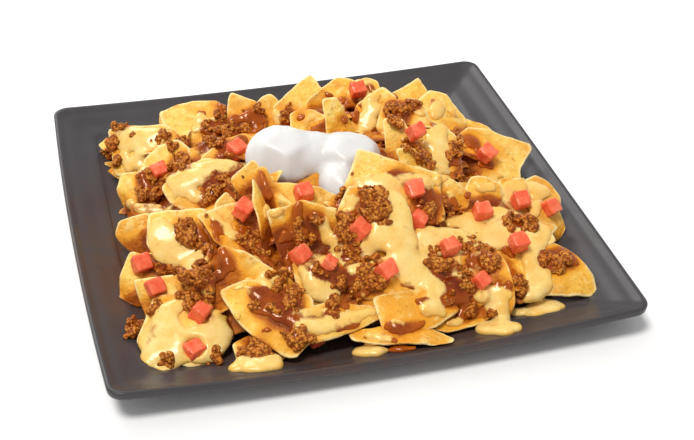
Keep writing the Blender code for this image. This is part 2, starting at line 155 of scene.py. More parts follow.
# ================================================================ chips
# name, how far the middle curls up, facing, corners
CHIPS = [
    ("back_left", 3, (-0.11, -0.42, 0.9), ((-83.6, 107.8, 31.9), (-74.7, 109.2, 33.7), (-60.5, 110, 35.9), (-45.5, 104.7, 35.3), (-33.7, 87.8, 28.8), (-56.7, 66.5, 15.9), (-82, 84.3, 21.1))),
    ("back_left_side", 2, (-0.63, -0.44, 0.64), ((-82.8, 114.6, 28), (-75.4, 109.7, 32), (-71.8, 84.2, 18.1), (-82.8, 97.6, 16.4))),
    ("back_left_front", 1, (-0.05, -0.61, 0.79), ((-74.7, 122.5, 19.4), (-60.6, 112.3, 12.4), (-50.8, 94.8, -0.5), (-78.2, 99.1, 0.9))),
    ("back_upright", 3, (-0.14, -0.66, 0.74), ((-37.4, 96, 47.2), (-22.1, 87.4, 42.4), (-19.3, 63, 21.5), (-47.1, 68.2, 20.9), (-40.2, 92.5, 43.5))),
    ("back_round", 3, (0.05, -0.56, 0.83), ((-22.9, 90.8, 37.7), (-17.8, 95.4, 40.4), (-12.1, 96.9, 41.1), (-6.3, 92.8, 38.1), (1.5, 72.2, 23.7), (-23.7, 66.7, 21.5), (-32, 76.8, 28.8))),
    ("back_peak", 3, (-0.12, -0.55, 0.83), ((17.5, 104.4, 50.5), (35.4, 63, 25.7), (-24.6, 80.4, 28.7))),
    ("back_arch", -5, (-0.45, -0.65, 0.62), ((17.4, 71.6, 56.8), (24.6, 63.5, 53.7), (18.4, 49.5, 34.5), (2.4, 59, 32.7), (7.9, 70.7, 49))),
    ("back_mid_low", 2, (-0.1, -0.58, 0.81), ((-8.6, 50.6, 50.8), (-4.3, 52.5, 52.7), (5.8, 51.6, 53.3), (14.5, 44.7, 49.5), (9.5, 30, 38.3), (-12.2, 35.6, 39.6))),
    ("back_gold", 2, (0.13, -0.75, 0.64), ((7, 32.9, 69.9), (16.8, 34.1, 69.3), (26.1, 20.6, 51.5), (21.5, 12.3, 42.7), (6.5, 13.4, 47.1))),
    ("back_flat", 2, (0, -0.38, 0.93), ((17.7, 94.2, 40.9), (35.4, 102.2, 44.1), (46.1, 98.3, 42.5), (56.7, 71.3, 31.6), (22.4, 70, 31.1))),
    ("back_dome", 5, (0.04, -0.5, 0.87), ((38.7, 88.4, 41.2), (43.8, 94.8, 44.7), (52.8, 97.6, 45.8), (60.7, 93.6, 43.1), (61.6, 86.7, 39.1), (62.1, 61.3, 24.5), (28.9, 63.9, 27.6))),
    ("back_cheese", 3, (-0.17, -0.65, 0.74), ((56, 64.3, 55.7), (62.1, 57, 50.8), (56.8, 39.8, 34.6), (46.6, 26.2, 20.4), (25.2, 39.9, 27.3), (37.1, 60.4, 47.9))),
    ("back_triangle", 2, (0.05, -0.53, 0.85), ((91.6, 98.3, 40.4), (97.7, 85.4, 32), (101.9, 59.1, 15.5), (64.5, 59.3, 17.6), (63.7, 86.4, 34.5))),
    ("back_right_cheese", 4, (0.21, -0.45, 0.87), ((93.2, 79.2, 41.3), (103.6, 76, 37.1), (113.5, 58, 25.2), (98.3, 31.8, 15.3), (71.4, 33.6, 22.7), (76.2, 64.1, 37.5))),
    ("back_right_fold", 3, (0.24, -0.52, 0.82), ((100.8, 66.6, 31.3), (113.7, 62.6, 24.9), (129.2, 56.9, 16.7), (131.6, 42, 6.6), (105.8, 37, 11), (90.1, 45.1, 20.8))),
    ("right_back_big", 3, (0.12, -0.45, 0.88), ((102, 30.9, 37.8), (118, 29.5, 34.9), (142.4, 19.8, 26.5), (141.7, 15.8, 24.6), (127.8, 1.1, 19), (126.9, -5.5, 15.7), (103.3, -11.6, 15.8), (83.1, 0.4, 24.7), (84.8, 18.9, 34))),
    ("mid_back_lift", 3, (-0.05, -0.53, 0.85), ((54.4, 53.8, 52.1), (75.8, 51.6, 51.9), (80.2, 29.8, 38.6), (53.6, 26.8, 35.3), (43.9, 37, 41))),
    ("mid_back_vertical", 2, (-0.13, -0.73, 0.67), ((40.2, 10.6, 64.5), (51.7, 9.2, 65.1), (61, -8.3, 47.8), (50.7, -18.8, 34.3), (36.3, -11.7, 39.3))),
    ("mid_back_small", 2, (0.13, -0.75, 0.64), ((40.1, -19.6, 60.4), (50.8, -19.2, 58.6), (58.5, -28.4, 46.2), (40.8, -33.6, 43.8))),
    ("right_cheese_back", 3, (0.1, -0.56, 0.82), ((64.1, 6.4, 54.4), (77, 10.7, 55.8), (86.1, 1.5, 48.3), (83.9, -18.5, 34.8), (65.4, -29, 29.8), (50.2, -15.5, 41))),
    ("right_small_box", 3, (0, -0.62, 0.79), ((81.9, -35.6, 44.3), (89.8, -36.4, 43.6), (99.3, -40.5, 40.4), (96.7, -51.3, 32), (81.6, -55.5, 28.7), (71.5, -47.4, 35))),
    ("right_upper", 3, (0.06, -0.64, 0.77), ((102.1, -28.7, 35.5), (119, -28.7, 34.3), (119, -45.4, 20.3), (101.7, -59.9, 9.5), (90.5, -46.2, 21.8))),
    ("right_edge", 4, (0.26, -0.56, 0.79), ((118, -26, 28.5), (132.6, -18.6, 28.9), (136.5, -21.4, 25.6), (141.1, -31.8, 16.7), (138, -40.9, 11.3), (116.4, -51.1, 11.3), (104, -44.6, 20))),
    ("right_edge_low", 3, (0.38, -0.55, 0.74), ((118, -45.1, 26.8), (136.1, -39.8, 21.2), (138.4, -55.1, 8.8), (130.2, -62.8, 7.3), (120.4, -65.7, 10.3), (102.6, -69, 17))),
    ("right_front_tip", 3, (0.08, -0.3, 0.95), ((108.3, -85.1, 24.2), (118, -86, 23.1), (126.9, -93.8, 19.9), (132.7, -106.2, 15.5), (132, -119.2, 11.5), (128.2, -120.9, 11.3), (101.2, -117.6, 14.6), (81.8, -121.1, 15.2), (86.4, -94.4, 23.2))),
    ("right_curved_tall", 4, (-0.39, -0.68, 0.62), ((76.6, -99.7, 37.6), (79.5, -105.9, 32.5), (80.7, -114.1, 24.2), (80.3, -121.9, 15.4), (74.4, -127.2, 5.7), (58.4, -114.8, 9.2), (60.2, -99.5, 27.2))),
    ("right_mid_field", 2, (0.03, -0.37, 0.93), ((47.1, -57.2, 39.7), (91.4, -61.2, 36.5), (116.2, -76.2, 29.6), (117.8, -85.6, 25.8), (91.7, -96.5, 22.3), (56.5, -93.3, 24.8), (31.4, -73.6, 33.6))),
    ("centre_right_big", 4, (-0.05, -0.59, 0.81), ((12.5, -30.2, 71.5), (35.2, -41.5, 64.7), (56.9, -50.1, 59.9), (52.8, -72.6, 43.3), (22.4, -77.5, 37.9), (-4.8, -65.1, 45.1), (-0.7, -48.9, 57.1))),
    ("centre_right_wing", 3, (0, -0.71, 0.71), ((51.8, -43.5, 58.6), (65.1, -48.6, 53.6), (75.5, -55.1, 47), (71.4, -61.1, 41.1), (54.1, -61.9, 40.2), (43, -53.7, 48.5))),
    ("centre_right_face", 5, (-0.16, -0.75, 0.64), ((0.5, -59.3, 66.9), (27, -69, 62.2), (32.6, -87.7, 41.7), (11.2, -96.9, 25.8), (-13.1, -92.8, 24.4), (-14.7, -76.3, 43.3), (-7.8, -64.9, 58.3))),
    ("centre_right_low", 2, (0, -0.57, 0.82), ((19.7, -71.9, 44.8), (66.7, -82.1, 37.7), (69.3, -97.4, 26.9), (41.8, -101.9, 23.8), (16.1, -95.7, 28.2))),
    ("under_cream_front", 2, (0, -0.57, 0.82), ((-39.9, -34.1, 60), (-13.2, -40.3, 55.7), (-1.2, -48.9, 49.7), (3.5, -49, 49.6), (-1.1, -57.6, 43.6), (-19.7, -59.4, 42.3), (-35.6, -50.4, 48.6))),
    ("centre_roll", 5, (-0.56, -0.66, 0.5), ((-47.2, -28, 64.8), (-41.9, -30.5, 67.5), (-34.3, -45.1, 56.6), (-26.1, -54.9, 52.7), (-35.6, -52.9, 44.8), (-46, -39.9, 50.4))),
    ("centre_standing", -3, (-0.08, -0.88, 0.47), ((-49, -65.5, 62), (-37.9, -66.2, 62.7), (-28, -65.3, 65.8), (-9.4, -70.9, 58.5), (-13.8, -81.8, 37.4), (-24.9, -87.3, 25.3), (-44, -81.5, 32.9))),
    ("centre_narrow", 1, (0.57, -0.68, 0.47), ((-51.9, -48.1, 72.6), (-47.4, -50.4, 64), (-40, -68.7, 28.7), (-48.1, -76.5, 27.3), (-53.5, -68.8, 44.8), (-53.6, -57.7, 61))),
    ("centre_left_tall", 3, (-0.29, -0.8, 0.53), ((-45.7, -17.9, 66.5), (-60.4, -19.5, 56.1), (-59.9, -22.2, 52.2), (-52.7, -31.7, 41.9), (-41.5, -39.2, 36.7), (-40.3, -25.1, 58.6))),
    ("centre_left_speckled", 1, (0.13, -0.75, 0.64), ((-64.7, -29.1, 53.2), (-57, -35.7, 43.8), (-55.5, -44, 33.8), (-74.6, -42.1, 39.9), (-72.8, -34.2, 48.9))),
    ("centre_left_dish", -5, (0.13, -0.35, 0.93), ((-84.6, -42.9, 51), (-78.1, -41.7, 50.5), (-52.9, -33.6, 50.1), (-37.8, -69.5, 34.4), (-50.6, -80.5, 32), (-65.5, -71.1, 37.6), (-76.5, -61.9, 42.6))),
    ("centre_left_under", 4, (-0.21, -0.79, 0.57), ((-77, -71.2, 45.8), (-63, -76.5, 43.6), (-40.7, -91.5, 31.2), (-40.8, -101.2, 17.8), (-70.9, -94.7, 15.7), (-80.6, -81.1, 30.9))),
    ("centre_left_cheese", 4, (-0.15, -0.55, 0.82), ((-97.8, 4, 40.2), (-85, 10.5, 46.9), (-68.8, 12.9, 51.4), (-47.8, 3.1, 48.6), (-55.8, -16.5, 33.9), (-76.1, -18.7, 28.8), (-93.2, -5.7, 34.4))),
    ("small_triangle", 1, (0, -0.82, 0.57), ((-71.4, 19.3, 48), (-62, 22.8, 53), (-54.9, 16.7, 44.2), (-61.1, 11.6, 36.9), (-71.5, 13.7, 40))),
    ("left_mid", 3, (-0.09, -0.49, 0.87), ((-77.4, 34.6, 45.4), (-40, 37.8, 51), (-26.2, 23.8, 44.3), (-45.9, 10.9, 35), (-72.9, 20.2, 37.7))),
    ("centre_low_mid", 3, (-0.06, -0.7, 0.71), ((-39.7, -87.5, 40.5), (-17.3, -88.6, 41.4), (-7.4, -98.9, 32), (-14.7, -109.7, 20.6), (-39.8, -106.5, 21.6))),
    ("centre_low_right", 3, (0, -0.71, 0.71), ((-11.2, -96, 36), (17.8, -92.5, 39.4), (47.1, -98.8, 33.2), (43.3, -112.5, 19.5), (12.6, -112.4, 19.6), (-11.7, -106.6, 25.3))),
    ("left_round_tip", 2, (-0.22, -0.26, 0.94), ((-125.7, 106.4, 14.3), (-119.4, 109, 16.5), (-102.9, 103.5, 18.9), (-98.4, 82.3, 14), (-122.2, 98.7, 13))),
    ("left_cheese", 4, (-0.32, -0.56, 0.77), ((-118.8, 93.1, 31.7), (-106.1, 90, 34.7), (-83.5, 80.8, 37.5), (-70.8, 63.4, 30.2), (-101.4, 54.2, 10.6), (-118.6, 66.5, 12.4))),
    ("left_pale_tip", 1, (-0.37, -0.21, 0.91), ((-123.8, 75.5, 12.1), (-114.2, 73.7, 15.6), (-101.4, 59.9, 17.6), (-115.5, 61.2, 12.2))),
    ("left_gold", 4, (-0.49, -0.59, 0.64), ((-117.3, 41.4, 30.6), (-105.1, 34.6, 33.7), (-99, 15.9, 21.4), (-116.5, 17.9, 9.7), (-121.3, 34.8, 21.5))),
    ("left_arc", 4, (-0.27, -0.58, 0.77), ((-80.1, 48.4, 45.5), (-93.4, 48.5, 40.9), (-101.6, 45.2, 35.4), (-106.8, 35.4, 26.2), (-104.2, 23, 17.6), (-78.7, 13.6, 19.6), (-65.3, 29.1, 36.1))),
    ("left_lobe", 3, (-0.54, -0.54, 0.64), ((-107, -10.7, 33.5), (-118.3, -5.5, 28.4), (-124.7, -3.1, 25), (-128.1, -7.4, 18.5), (-121.7, -18.7, 14.4), (-107.5, -33.2, 14.1), (-99.7, -28.2, 25))),
    ("left_front_cheese", 5, (-0.24, -0.66, 0.71), ((-109.3, -28.1, 45.3), (-78.3, -35.8, 48.7), (-68.9, -53.3, 35.4), (-76.2, -65, 22), (-105.5, -53.6, 22.6), (-112.6, -40.8, 32.2))),
    ("left_low_a", 3, (-0.38, -0.55, 0.74), ((-122.2, -37.6, 26.8), (-106.1, -48.3, 27.3), (-103.9, -65.7, 15.6), (-123.4, -64.1, 6.7), (-132.9, -55.7, 7.9), (-129.9, -46.5, 16.2))),
    ("left_low_b", 4, (-0.25, -0.68, 0.69), ((-124.7, -63.6, 26.2), (-100.4, -69.6, 28.9), (-88.8, -83.8, 19.2), (-98.6, -92, 7.8), (-118.5, -84.9, 7.6), (-121.9, -74.2, 16.9))),
    ("left_low_point", 3, (-0.12, -0.7, 0.71), ((-104.3, -74.6, 33.9), (-76.4, -75.1, 38.2), (-71.7, -88.9, 25.4), (-82.2, -90.7, 21.8), (-93, -86.5, 24.1))),
    ("front_big", 3, (-0.07, -0.4, 0.91), ((-81.4, -91.3, 31.7), (-63.7, -89.4, 33.9), (-34.2, -106.5, 28.7), (-31.1, -125.4, 20.6), (-40.4, -131.7, 17.2), (-48.8, -137, 14.2), (-53.3, -135.5, 14.5), (-70.1, -118.4, 20.7), (-75.7, -108.7, 24.5))),
    ("front_second", 2, (0, -0.41, 0.91), ((-52.2, -114.6, 24.6), (-23.8, -110, 26.7), (11.9, -120.2, 22.1), (-20.4, -129.2, 18.1), (-40.4, -131.6, 17))),
    ("front_right_gold", 4, (0.04, -0.47, 0.88), ((-0.9, -112.7, 27.2), (39.2, -109.5, 27), (45.7, -124.4, 18.8), (31.3, -131.9, 15.5), (17.7, -133.5, 15.3), (0.7, -131.6, 17.1))),
    ("front_gravy_roll", 4, (0, -0.71, 0.71), ((37.1, -108.8, 26.2), (58.4, -108.2, 26.8), (65.1, -117.8, 17.2), (49.2, -124.1, 10.9), (36.7, -118.7, 16.3))),
    ("right_low_mid", 3, (-0.06, -0.7, 0.71), ((43.3, -96.2, 32), (70, -95.4, 35.1), (77.7, -108, 23.2), (66.7, -117.7, 12.6), (42.6, -111.4, 16.7))),
    ("front_crescent", -4, (0.08, -0.46, 0.88), ((29, -132, 14.7), (35.9, -134.2, 12.9), (53.4, -131.8, 12.6), (71.1, -124.4, 14.8), (70.6, -111.7, 21.5), (41.6, -117.3, 21.3))),
    ("front_low_left", 2, (0, -0.14, 0.99), ((-17.3, -123.9, 16.7), (27, -131, 15.7), (38.4, -141.7, 14.2), (33.6, -145.9, 13.6), (1.5, -140.5, 14.4), (-18, -134.9, 15.2))),
    ("front_left_cheese_a", 4, (-0.1, -0.39, 0.91), ((-114.7, -77.5, 23.6), (-80.2, -86.4, 23.7), (-77, -108.1, 14.8), (-89.2, -121.9, 7.4), (-103.8, -121.5, 5.9), (-123.6, -112, 7.7), (-129.2, -100.4, 12.1))),
    ("front_left_brown", 2, (-0.01, -0.17, 0.98), ((-80, -117.5, 13), (-61.9, -110, 14.6), (-49.5, -128.5, 11.5), (-63.4, -136.6, 9.9), (-79.6, -131.6, 10.5))),
]
CHIP_THICK = 1.35


def outline_of(corners, n, rng):
    """A closed outline of n points round the corners: rounded, a little wavy."""
    c = np.asarray(corners, float)
    area = 0.5 * np.sum(c[:, 0] * np.roll(c[:, 1], -1) - np.roll(c[:, 0], -1) * c[:, 1])
    if area < 0:
        c = c[::-1]
    m = len(c)
    pts = []
    for i in range(m):
        a, b, d = c[i - 1], c[i], c[(i + 1) % m]
        la, ld = np.linalg.norm(a - b), np.linalg.norm(d - b)
        soft = rng.uniform(1.6, 3.2)
        p = b + (a - b) * min(0.30, soft / la)
        q = b + (d - b) * min(0.30, soft / ld)
        for t in np.linspace(0, 1, 6):
            pts.append((1 - t) ** 2 * p + 2 * t * (1 - t) * b + t * t * q)
    pts = np.array(pts)
    step = np.linalg.norm(np.roll(pts, -1, 0) - pts, axis=1)
    run = np.concatenate([[0], np.cumsum(step)])
    want = np.linspace(0, run[-1], n, endpoint=False)
    ring = np.c_[np.interp(want, run, np.append(pts[:, 0], pts[0, 0])), np.interp(want, run, np.append(pts[:, 1], pts[0, 1]))]
    tangent = np.roll(ring, -1, 0) - np.roll(ring, 1, 0)
    tangent /= np.linalg.norm(tangent, axis=1)[:, None] + 1e-9
    out = np.c_[tangent[:, 1], -tangent[:, 0]]
    s = int(rng.integers(1, 10 ** 6))
    p3 = np.c_[ring, np.full(n, 3.0)]
    swing = 0.8 * vnoise(p3, 15, s) + 0.34 * vnoise(p3, 5, s + 1) + 0.14 * vnoise(p3, 2, s + 2)
    return ring + out * swing[:, None]


RINGS_FINE = [1.0, 0.975, 0.93, 0.87, 0.80, 0.72, 0.63, 0.53, 0.42, 0.30, 0.16]
RINGS_COARSE = [1.0, 0.94, 0.82, 0.66, 0.46, 0.22]


def add_chip(shape, corners, normal, bulge, rng, fine=True, thick=CHIP_THICK):
    """One tortilla chip: a curled, blistered wafer through its corners (mm)."""
    corners = np.asarray(corners, float)
    n = unit(normal)
    mid = corners.mean(0)
    u = unit(np.cross(n, [0.0, 0.0, 1.0]) if abs(n[2]) < 0.95 else np.cross(n, [0.0, 1.0, 0.0]))
    v = np.cross(n, u)
    flat = np.c_[(corners - mid) @ u, (corners - mid) @ v]
    around, rings = (68, RINGS_FINE) if fine else (40, RINGS_COARSE)
    ring = outline_of(flat, around, rng)
    c = ring.mean(0)
    pts = [c + (ring - c) * s for s in rings]
    uv = np.concatenate(pts + [c[None, :]])
    rho = np.concatenate([np.full(around, s) for s in rings] + [[0.0]])
    size = np.linalg.norm(ring - c, axis=1).max()
    # curl about one axis, part dome
    turn = rng.uniform(0, math.pi)
    t = ((uv - c) @ np.array([math.cos(turn), math.sin(turn)])) / size
    h = bulge * (0.4 * (1 - rho ** 2) + 0.75 * (0.55 - t ** 2))
    # blisters and dents
    blister = np.zeros(len(uv))
    for _ in range(int(rng.integers(9, 17)) if fine else 4):
        a, d = rng.uniform(0, 2 * math.pi), size * math.sqrt(rng.uniform(0, 0.75))
        at = c + d * np.array([math.cos(a), math.sin(a)])
        r = rng.uniform(1.6, 4.4)
        amp = rng.uniform(0.25, 0.80) * (1 if rng.uniform() < 0.75 else -0.6)
        g = np.exp(-((uv - at) ** 2).sum(1) / (2 * r * r * 0.35))
        h = h + amp * g
        blister = np.maximum(blister, g * (amp > 0))
    s = int(rng.integers(1, 10 ** 6))
    p3 = np.c_[uv, np.zeros(len(uv))]
    h = h + 2.2 * vnoise(p3, 17, s) * (0.15 + 0.85 * rho ** 2) + 0.62 * vnoise(p3, 7.0, s + 2) * rho + 0.34 * vnoise(p3, 4.0, s + 3) + 0.12 * vnoise(p3, 2.0, s + 5)
    m = len(uv)
    half = np.where(rho > 0.99, 0.30, np.where(rho > 0.96, 0.46, 0.5)) * thick
    base = mid + uv[:, :1] * u + uv[:, 1:] * v
    top = base + (h + half)[:, None] * n
    bottom = base + (h - half)[:, None] * n
    rim = base[:around] + (ring - c) @ np.array([u, v]) / size * 0.35 + h[:around, None] * n
    verts = np.concatenate([top, bottom, rim])
    quads, tris = [], []
    i = np.arange(around)
    j = (i + 1) % around
    for k in range(len(rings) - 1):
        a, b = k * around, (k + 1) * around
        quads.append(np.c_[a + i, a + j, b + j, b + i])
        quads.append(np.c_[m + a + j, m + a + i, m + b + i, m + b + j])
    last = (len(rings) - 1) * around
    tris.append(np.c_[last + i, last + j, np.full(around, m - 1)])
    tris.append(np.c_[m + last + j, m + last + i, np.full(around, 2 * m - 1)])
    quads.append(np.c_[2 * m + i, 2 * m + j, j, i])
    quads.append(np.c_[m + i, m + j, 2 * m + j, 2 * m + i])
    tint = rng.uniform(-1, 1)
    edge = np.concatenate([rho, rho, np.ones(around)])
    bl = np.concatenate([blister, blister, np.zeros(around)])
    # the wafer may lean either way: faces must point outward
    tri0 = verts[quads[0][0]]
    if np.dot(np.cross(tri0[1] - tri0[0], tri0[2] - tri0[0]), n) < 0:
        quads = [q[:, ::-1] for q in quads]
        tris = [q[:, ::-1] for q in tris]
    shape.add(verts, quads + tris, tint=tint, edge=edge, blister=bl)
    return top


def filler_chips():
    """Chips that lie beneath the top layer and round the sides and back, on golden-angle places."""
    rng = np.random.default_rng(31)
    rows = []
    for i in range(74):
        a = i * 2.39996 + 0.4
        m = math.sqrt((i + 0.5) / 74)
        c, q = math.cos(a), math.sin(a)
        square = (abs(c) ** 3 + abs(q) ** 3) ** (-1 / 3)
        x, y = HEAP_C[0] + 101 * m * square * c, HEAP_C[1] + 97 * m * square * q
        rows.append((x, y, dome(x, y) - rng.uniform(4.5, 9.0), rng))
    return rows


def chip_from_place(x, y, z, normal, spin, length, width):
    n = unit(normal)
    u = unit(np.cross([0.0, 1.0, 0.0], n))
    v = np.cross(n, u)
    p = math.cos(spin) * u + math.sin(spin) * v
    q = np.cross(n, p)
    at = np.array([x, y, z])
    return [at + p * (2 * length / 3), at - p * length / 3 + q * width / 2, at - p * length / 3 - q * width / 2], n


def slope_normal(x, y, e=4.0):
    gx = (dome(x + e, y) - dome(x - e, y)) / (2 * e)
    gy = (dome(x, y + e) - dome(x, y - e)) / (2 * e)
    return unit([-gx, -gy, 1.0])


# ================================================================ plate
SIDE, BOW, DIP, CORNER_R = 300.0, 3.0, 3.9, 9.0
PLATE_TOP = [(2.2, 19.8, 1.0), (5.6, 17.4, 1.0), (10.0, 15.6, 0.95), (16.0, 12.6, 0.85),
             (24.0, 9.8, 0.65), (25.5, 8.7, 0.6), (36.0, 4.7, 0.15), (41.0, 4.0, 0.0)]
PLATE_UNDER = [(0.6, 19.9, 1.0), (0.0, 19.0, 1.0), (0.3, 15.8, 1.0), (2.0, 14.2, 1.0),
               (9.0, 11.4, 0.95), (22.0, 6.0, 0.65), (36.0, 1.2, 0.1), (43.0, 0.0, 0.0)]


def plate_ring(inset, height, share, side_steps=44, corner_steps=8):
    half = SIDE / 2 - inset
    r = max(2.0, CORNER_R - 0.15 * inset)
    out = []
    for side in range(4):
        turn = side * math.pi / 2
        run = half - r
        row = []
        for i in range(side_steps):
            t = -1 + 2 * i / side_steps
            swell = (1 - t * t) * share
            row.append((t * run, -half - BOW * swell, height - DIP * swell * (1 if height > 6 else 0.5)))
        for i in range(corner_steps):
            a = (i / corner_steps) * math.pi / 2
            row.append((run + r * math.sin(a), -run - r * math.cos(a), height))
        c, s = math.cos(turn), math.sin(turn)
        out += [(x * c - y * s, x * s + y * c, z) for x, y, z in row]
    return np.array(out)


def finer(profile, steps=3):
    """The profile's rows with eased rows between them."""
    p = np.array(profile)
    rows = []
    for i in range(len(p) - 1):
        p0, p1, p2, p3 = p[max(i - 1, 0)], p[i], p[i + 1], p[min(i + 2, len(p) - 1)]
        for k in range(steps):
            t = k / steps
            q = 0.5 * (2 * p1 + (p2 - p0) * t + (2 * p0 - 5 * p1 + 4 * p2 - p3) * t * t + (3 * p1 - p0 - 3 * p2 + p3) * t ** 3)
            lin = p1 + (p2 - p1) * t
            q = 0.35 * q + 0.65 * lin
            rows.append((max(0.0, q[0]), float(np.clip(q[1], 0.0, 19.9)), float(np.clip(q[2], 0, 1))))
    rows.append(tuple(p[-1]))
    return rows


def build_plate(mat):
    shape = Shape()
    profile = finer(PLATE_TOP)[::-1] + finer(PLATE_UNDER)
    rings = [plate_ring(*row) for row in profile]
    n = len(rings[0])
    i = np.arange(n)
    j = (i + 1) % n
    quads = [np.c_[k * n + i, k * n + j, (k + 1) * n + j, (k + 1) * n + i] for k in range(len(rings) - 1)]
    verts = np.concatenate(rings)
    # inner well and foot, closed by rings shrunk to the middle
    tris, extra = [], []
    base = len(verts)
    for ring, z, flip in ((rings[0], 4.0, True), (rings[-1], 0.0, False)):
        prev = 0 if flip else (len(rings) - 1) * n
        for s in (0.66, 0.33):
            inner = ring * [s, s, 0] + [0, 0, z]
            start = base + sum(len(e) for e in extra)
            extra.append(inner)
            q = np.c_[prev + i, prev + j, start + j, start + i]
            quads.append(q[:, ::-1] if flip else q)
            prev = start
        start = base + sum(len(e) for e in extra)
        extra.append(np.array([[0, 0, z]]))
        t = np.c_[prev + i, prev + j, np.full(n, start)]
        tris.append(t[:, ::-1] if flip else t)
    verts = np.concatenate([verts] + extra)
    # a film of grease lies round the food, most of it front left; its brown tint is a painted reflection of the food
    away = np.linalg.norm((verts[:, :2] - HEAP_C) / [104, 100], axis=1) * 100 - 100
    grease = np.clip(1.2 - away / 60, 0, 1) * np.clip(0.28 - (0.7 * verts[:, 0] + verts[:, 1]) / 160, 0, 1)
    shape.add(verts, quads + tris, grease=grease)
    obj = make_mesh("plate_melamine", shape, mat)
    return obj, shape


# ================================================================ volumes
class Field:
    """A box of voxels in which sauce mass is laid down, spread and cut at a level."""

    def __init__(self, low, high, cell):
        self.low, self.cell = np.array(low, float), cell
        self.shape = tuple(int(math.ceil((h - l) / cell)) + 1 for l, h in zip(low, high))
        self.data = np.zeros(self.shape, np.float32)

    def splat(self, points, mass):
        q = (points - self.low) / self.cell
        i = np.floor(q).astype(np.int64)
        f = q - i
        keep = np.all((i >= 0) & (i < np.array(self.shape) - 1), axis=1)
        i, f, mass = i[keep], f[keep], np.broadcast_to(mass, (len(points),))[keep]
        if not len(i):
            return
        first, last = i.min(0), i.max(0) + 2
        part = self.data[first[0]:last[0], first[1]:last[1], first[2]:last[2]]
        i = i - first
        total = np.zeros(part.size)
        for dx in (0, 1):
            for dy in (0, 1):
                for dz in (0, 1):
                    w = (f[:, 0] if dx else 1 - f[:, 0]) * (f[:, 1] if dy else 1 - f[:, 1]) * (f[:, 2] if dz else 1 - f[:, 2])
                    idx = ((i[:, 0] + dx) * part.shape[1] + i[:, 1] + dy) * part.shape[2] + i[:, 2] + dz
                    total += np.bincount(idx, weights=w * mass, minlength=part.size)
        part += total.reshape(part.shape).astype(np.float32)

    def blur(self, sigma):
        s = sigma / self.cell
        r = int(math.ceil(2.6 * s))
        k = np.exp(-0.5 * (np.arange(-r, r + 1) / s) ** 2)
        k = (k / k.sum()).astype(np.float32)
        d = self.data
        for axis in range(3):
            out = np.zeros_like(d)
            n = d.shape[axis]
            for t, w in zip(range(-r, r + 1), k):
                a = [slice(None)] * 3
                b = [slice(None)] * 3
                a[axis] = slice(max(0, t), n + min(0, t))
                b[axis] = slice(max(0, -t), n + min(0, -t))
                out[tuple(b)] += w * d[tuple(a)]
            d = out
        self.data = d

    def sample(self, points):
        q = (points - self.low) / self.cell
        q = np.clip(q, 0, np.array(self.shape) - 1.001)
        i = np.floor(q).astype(np.int64)
        f = q - i
        out = np.zeros(len(points))
        for dx in (0, 1):
            for dy in (0, 1):
                for dz in (0, 1):
                    w = (f[:, 0] if dx else 1 - f[:, 0]) * (f[:, 1] if dy else 1 - f[:, 1]) * (f[:, 2] if dz else 1 - f[:, 2])
                    out += w * self.data[i[:, 0] + dx, i[:, 1] + dy, i[:, 2] + dz]
        return out

    def surface(self, level, adaptivity=0.0, least=60):
        """The level's surface as points (mm) and faces, without crumbs of fewer than least points."""
        grid = vdb.FloatGrid(background=float(level))
        grid.copyFromArray((level - self.data).astype(np.float32), tolerance=0.0)
        pts, tris, quads = grid.convertToPolygons(isovalue=0.0, adaptivity=adaptivity)
        pts = np.asarray(pts, float) * self.cell + self.low
        tris, quads = np.asarray(tris, np.int64).reshape(-1, 3), np.asarray(quads, np.int64).reshape(-1, 4)
        label = islands(len(pts), tris, quads)
        count = np.bincount(label, minlength=len(pts))
        keep = count[label] >= least
        index = np.cumsum(keep) - 1
        tris = index[tris[keep[tris].all(1)]] if len(tris) else tris
        quads = index[quads[keep[quads].all(1)]] if len(quads) else quads
        return pts[keep], tris, quads


def islands(n, tris, quads):
    """A number for each vertex, the same through each connected piece."""
    edges = []
    if len(tris):
        edges += [tris[:, [0, 1]], tris[:, [1, 2]]]
    if len(quads):
        edges += [quads[:, [0, 1]], quads[:, [1, 2]], quads[:, [2, 3]]]
    e = np.concatenate(edges)
    label = np.arange(n)
    while True:
        low = np.minimum(label[e[:, 0]], label[e[:, 1]])
        new = label.copy()
        np.minimum.at(new, e[:, 0], low)
        np.minimum.at(new, e[:, 1], low)
        new = new[new]
        if np.array_equal(new, label):
            return label
        label = new


# ================================================================ materials
def material(name):
    mat = bpy.data.materials.new(name)
    mat.use_nodes = True
    tree = mat.node_tree
    bsdf = next(n for n in tree.nodes if n.type == "BSDF_PRINCIPLED")
    return mat, tree, bsdf


def node(tree, kind, **values):
    n = tree.nodes.new(kind)
    for key, value in values.items():
        if hasattr(n, key):
            setattr(n, key, value)
        else:
            n.inputs[key.replace("_", " ")].default_value = value
    return n


def noise_tex(tree, scale, detail=4.0, rough=0.55, distortion=0.0):
    """A noise texture in the object's own coordinates; scale is features per metre."""
    tc = next((n for n in tree.nodes if n.type == "TEX_COORD"), None) or tree.nodes.new("ShaderNodeTexCoord")
    n = tree.nodes.new("ShaderNodeTexNoise")
    n.inputs["Scale"].default_value = scale
    n.inputs["Detail"].default_value = detail
    n.inputs["Roughness"].default_value = rough
    n.inputs["Distortion"].default_value = distortion
    tree.links.new(tc.outputs["Object"], n.inputs["Vector"])
    return n.outputs["Fac"]


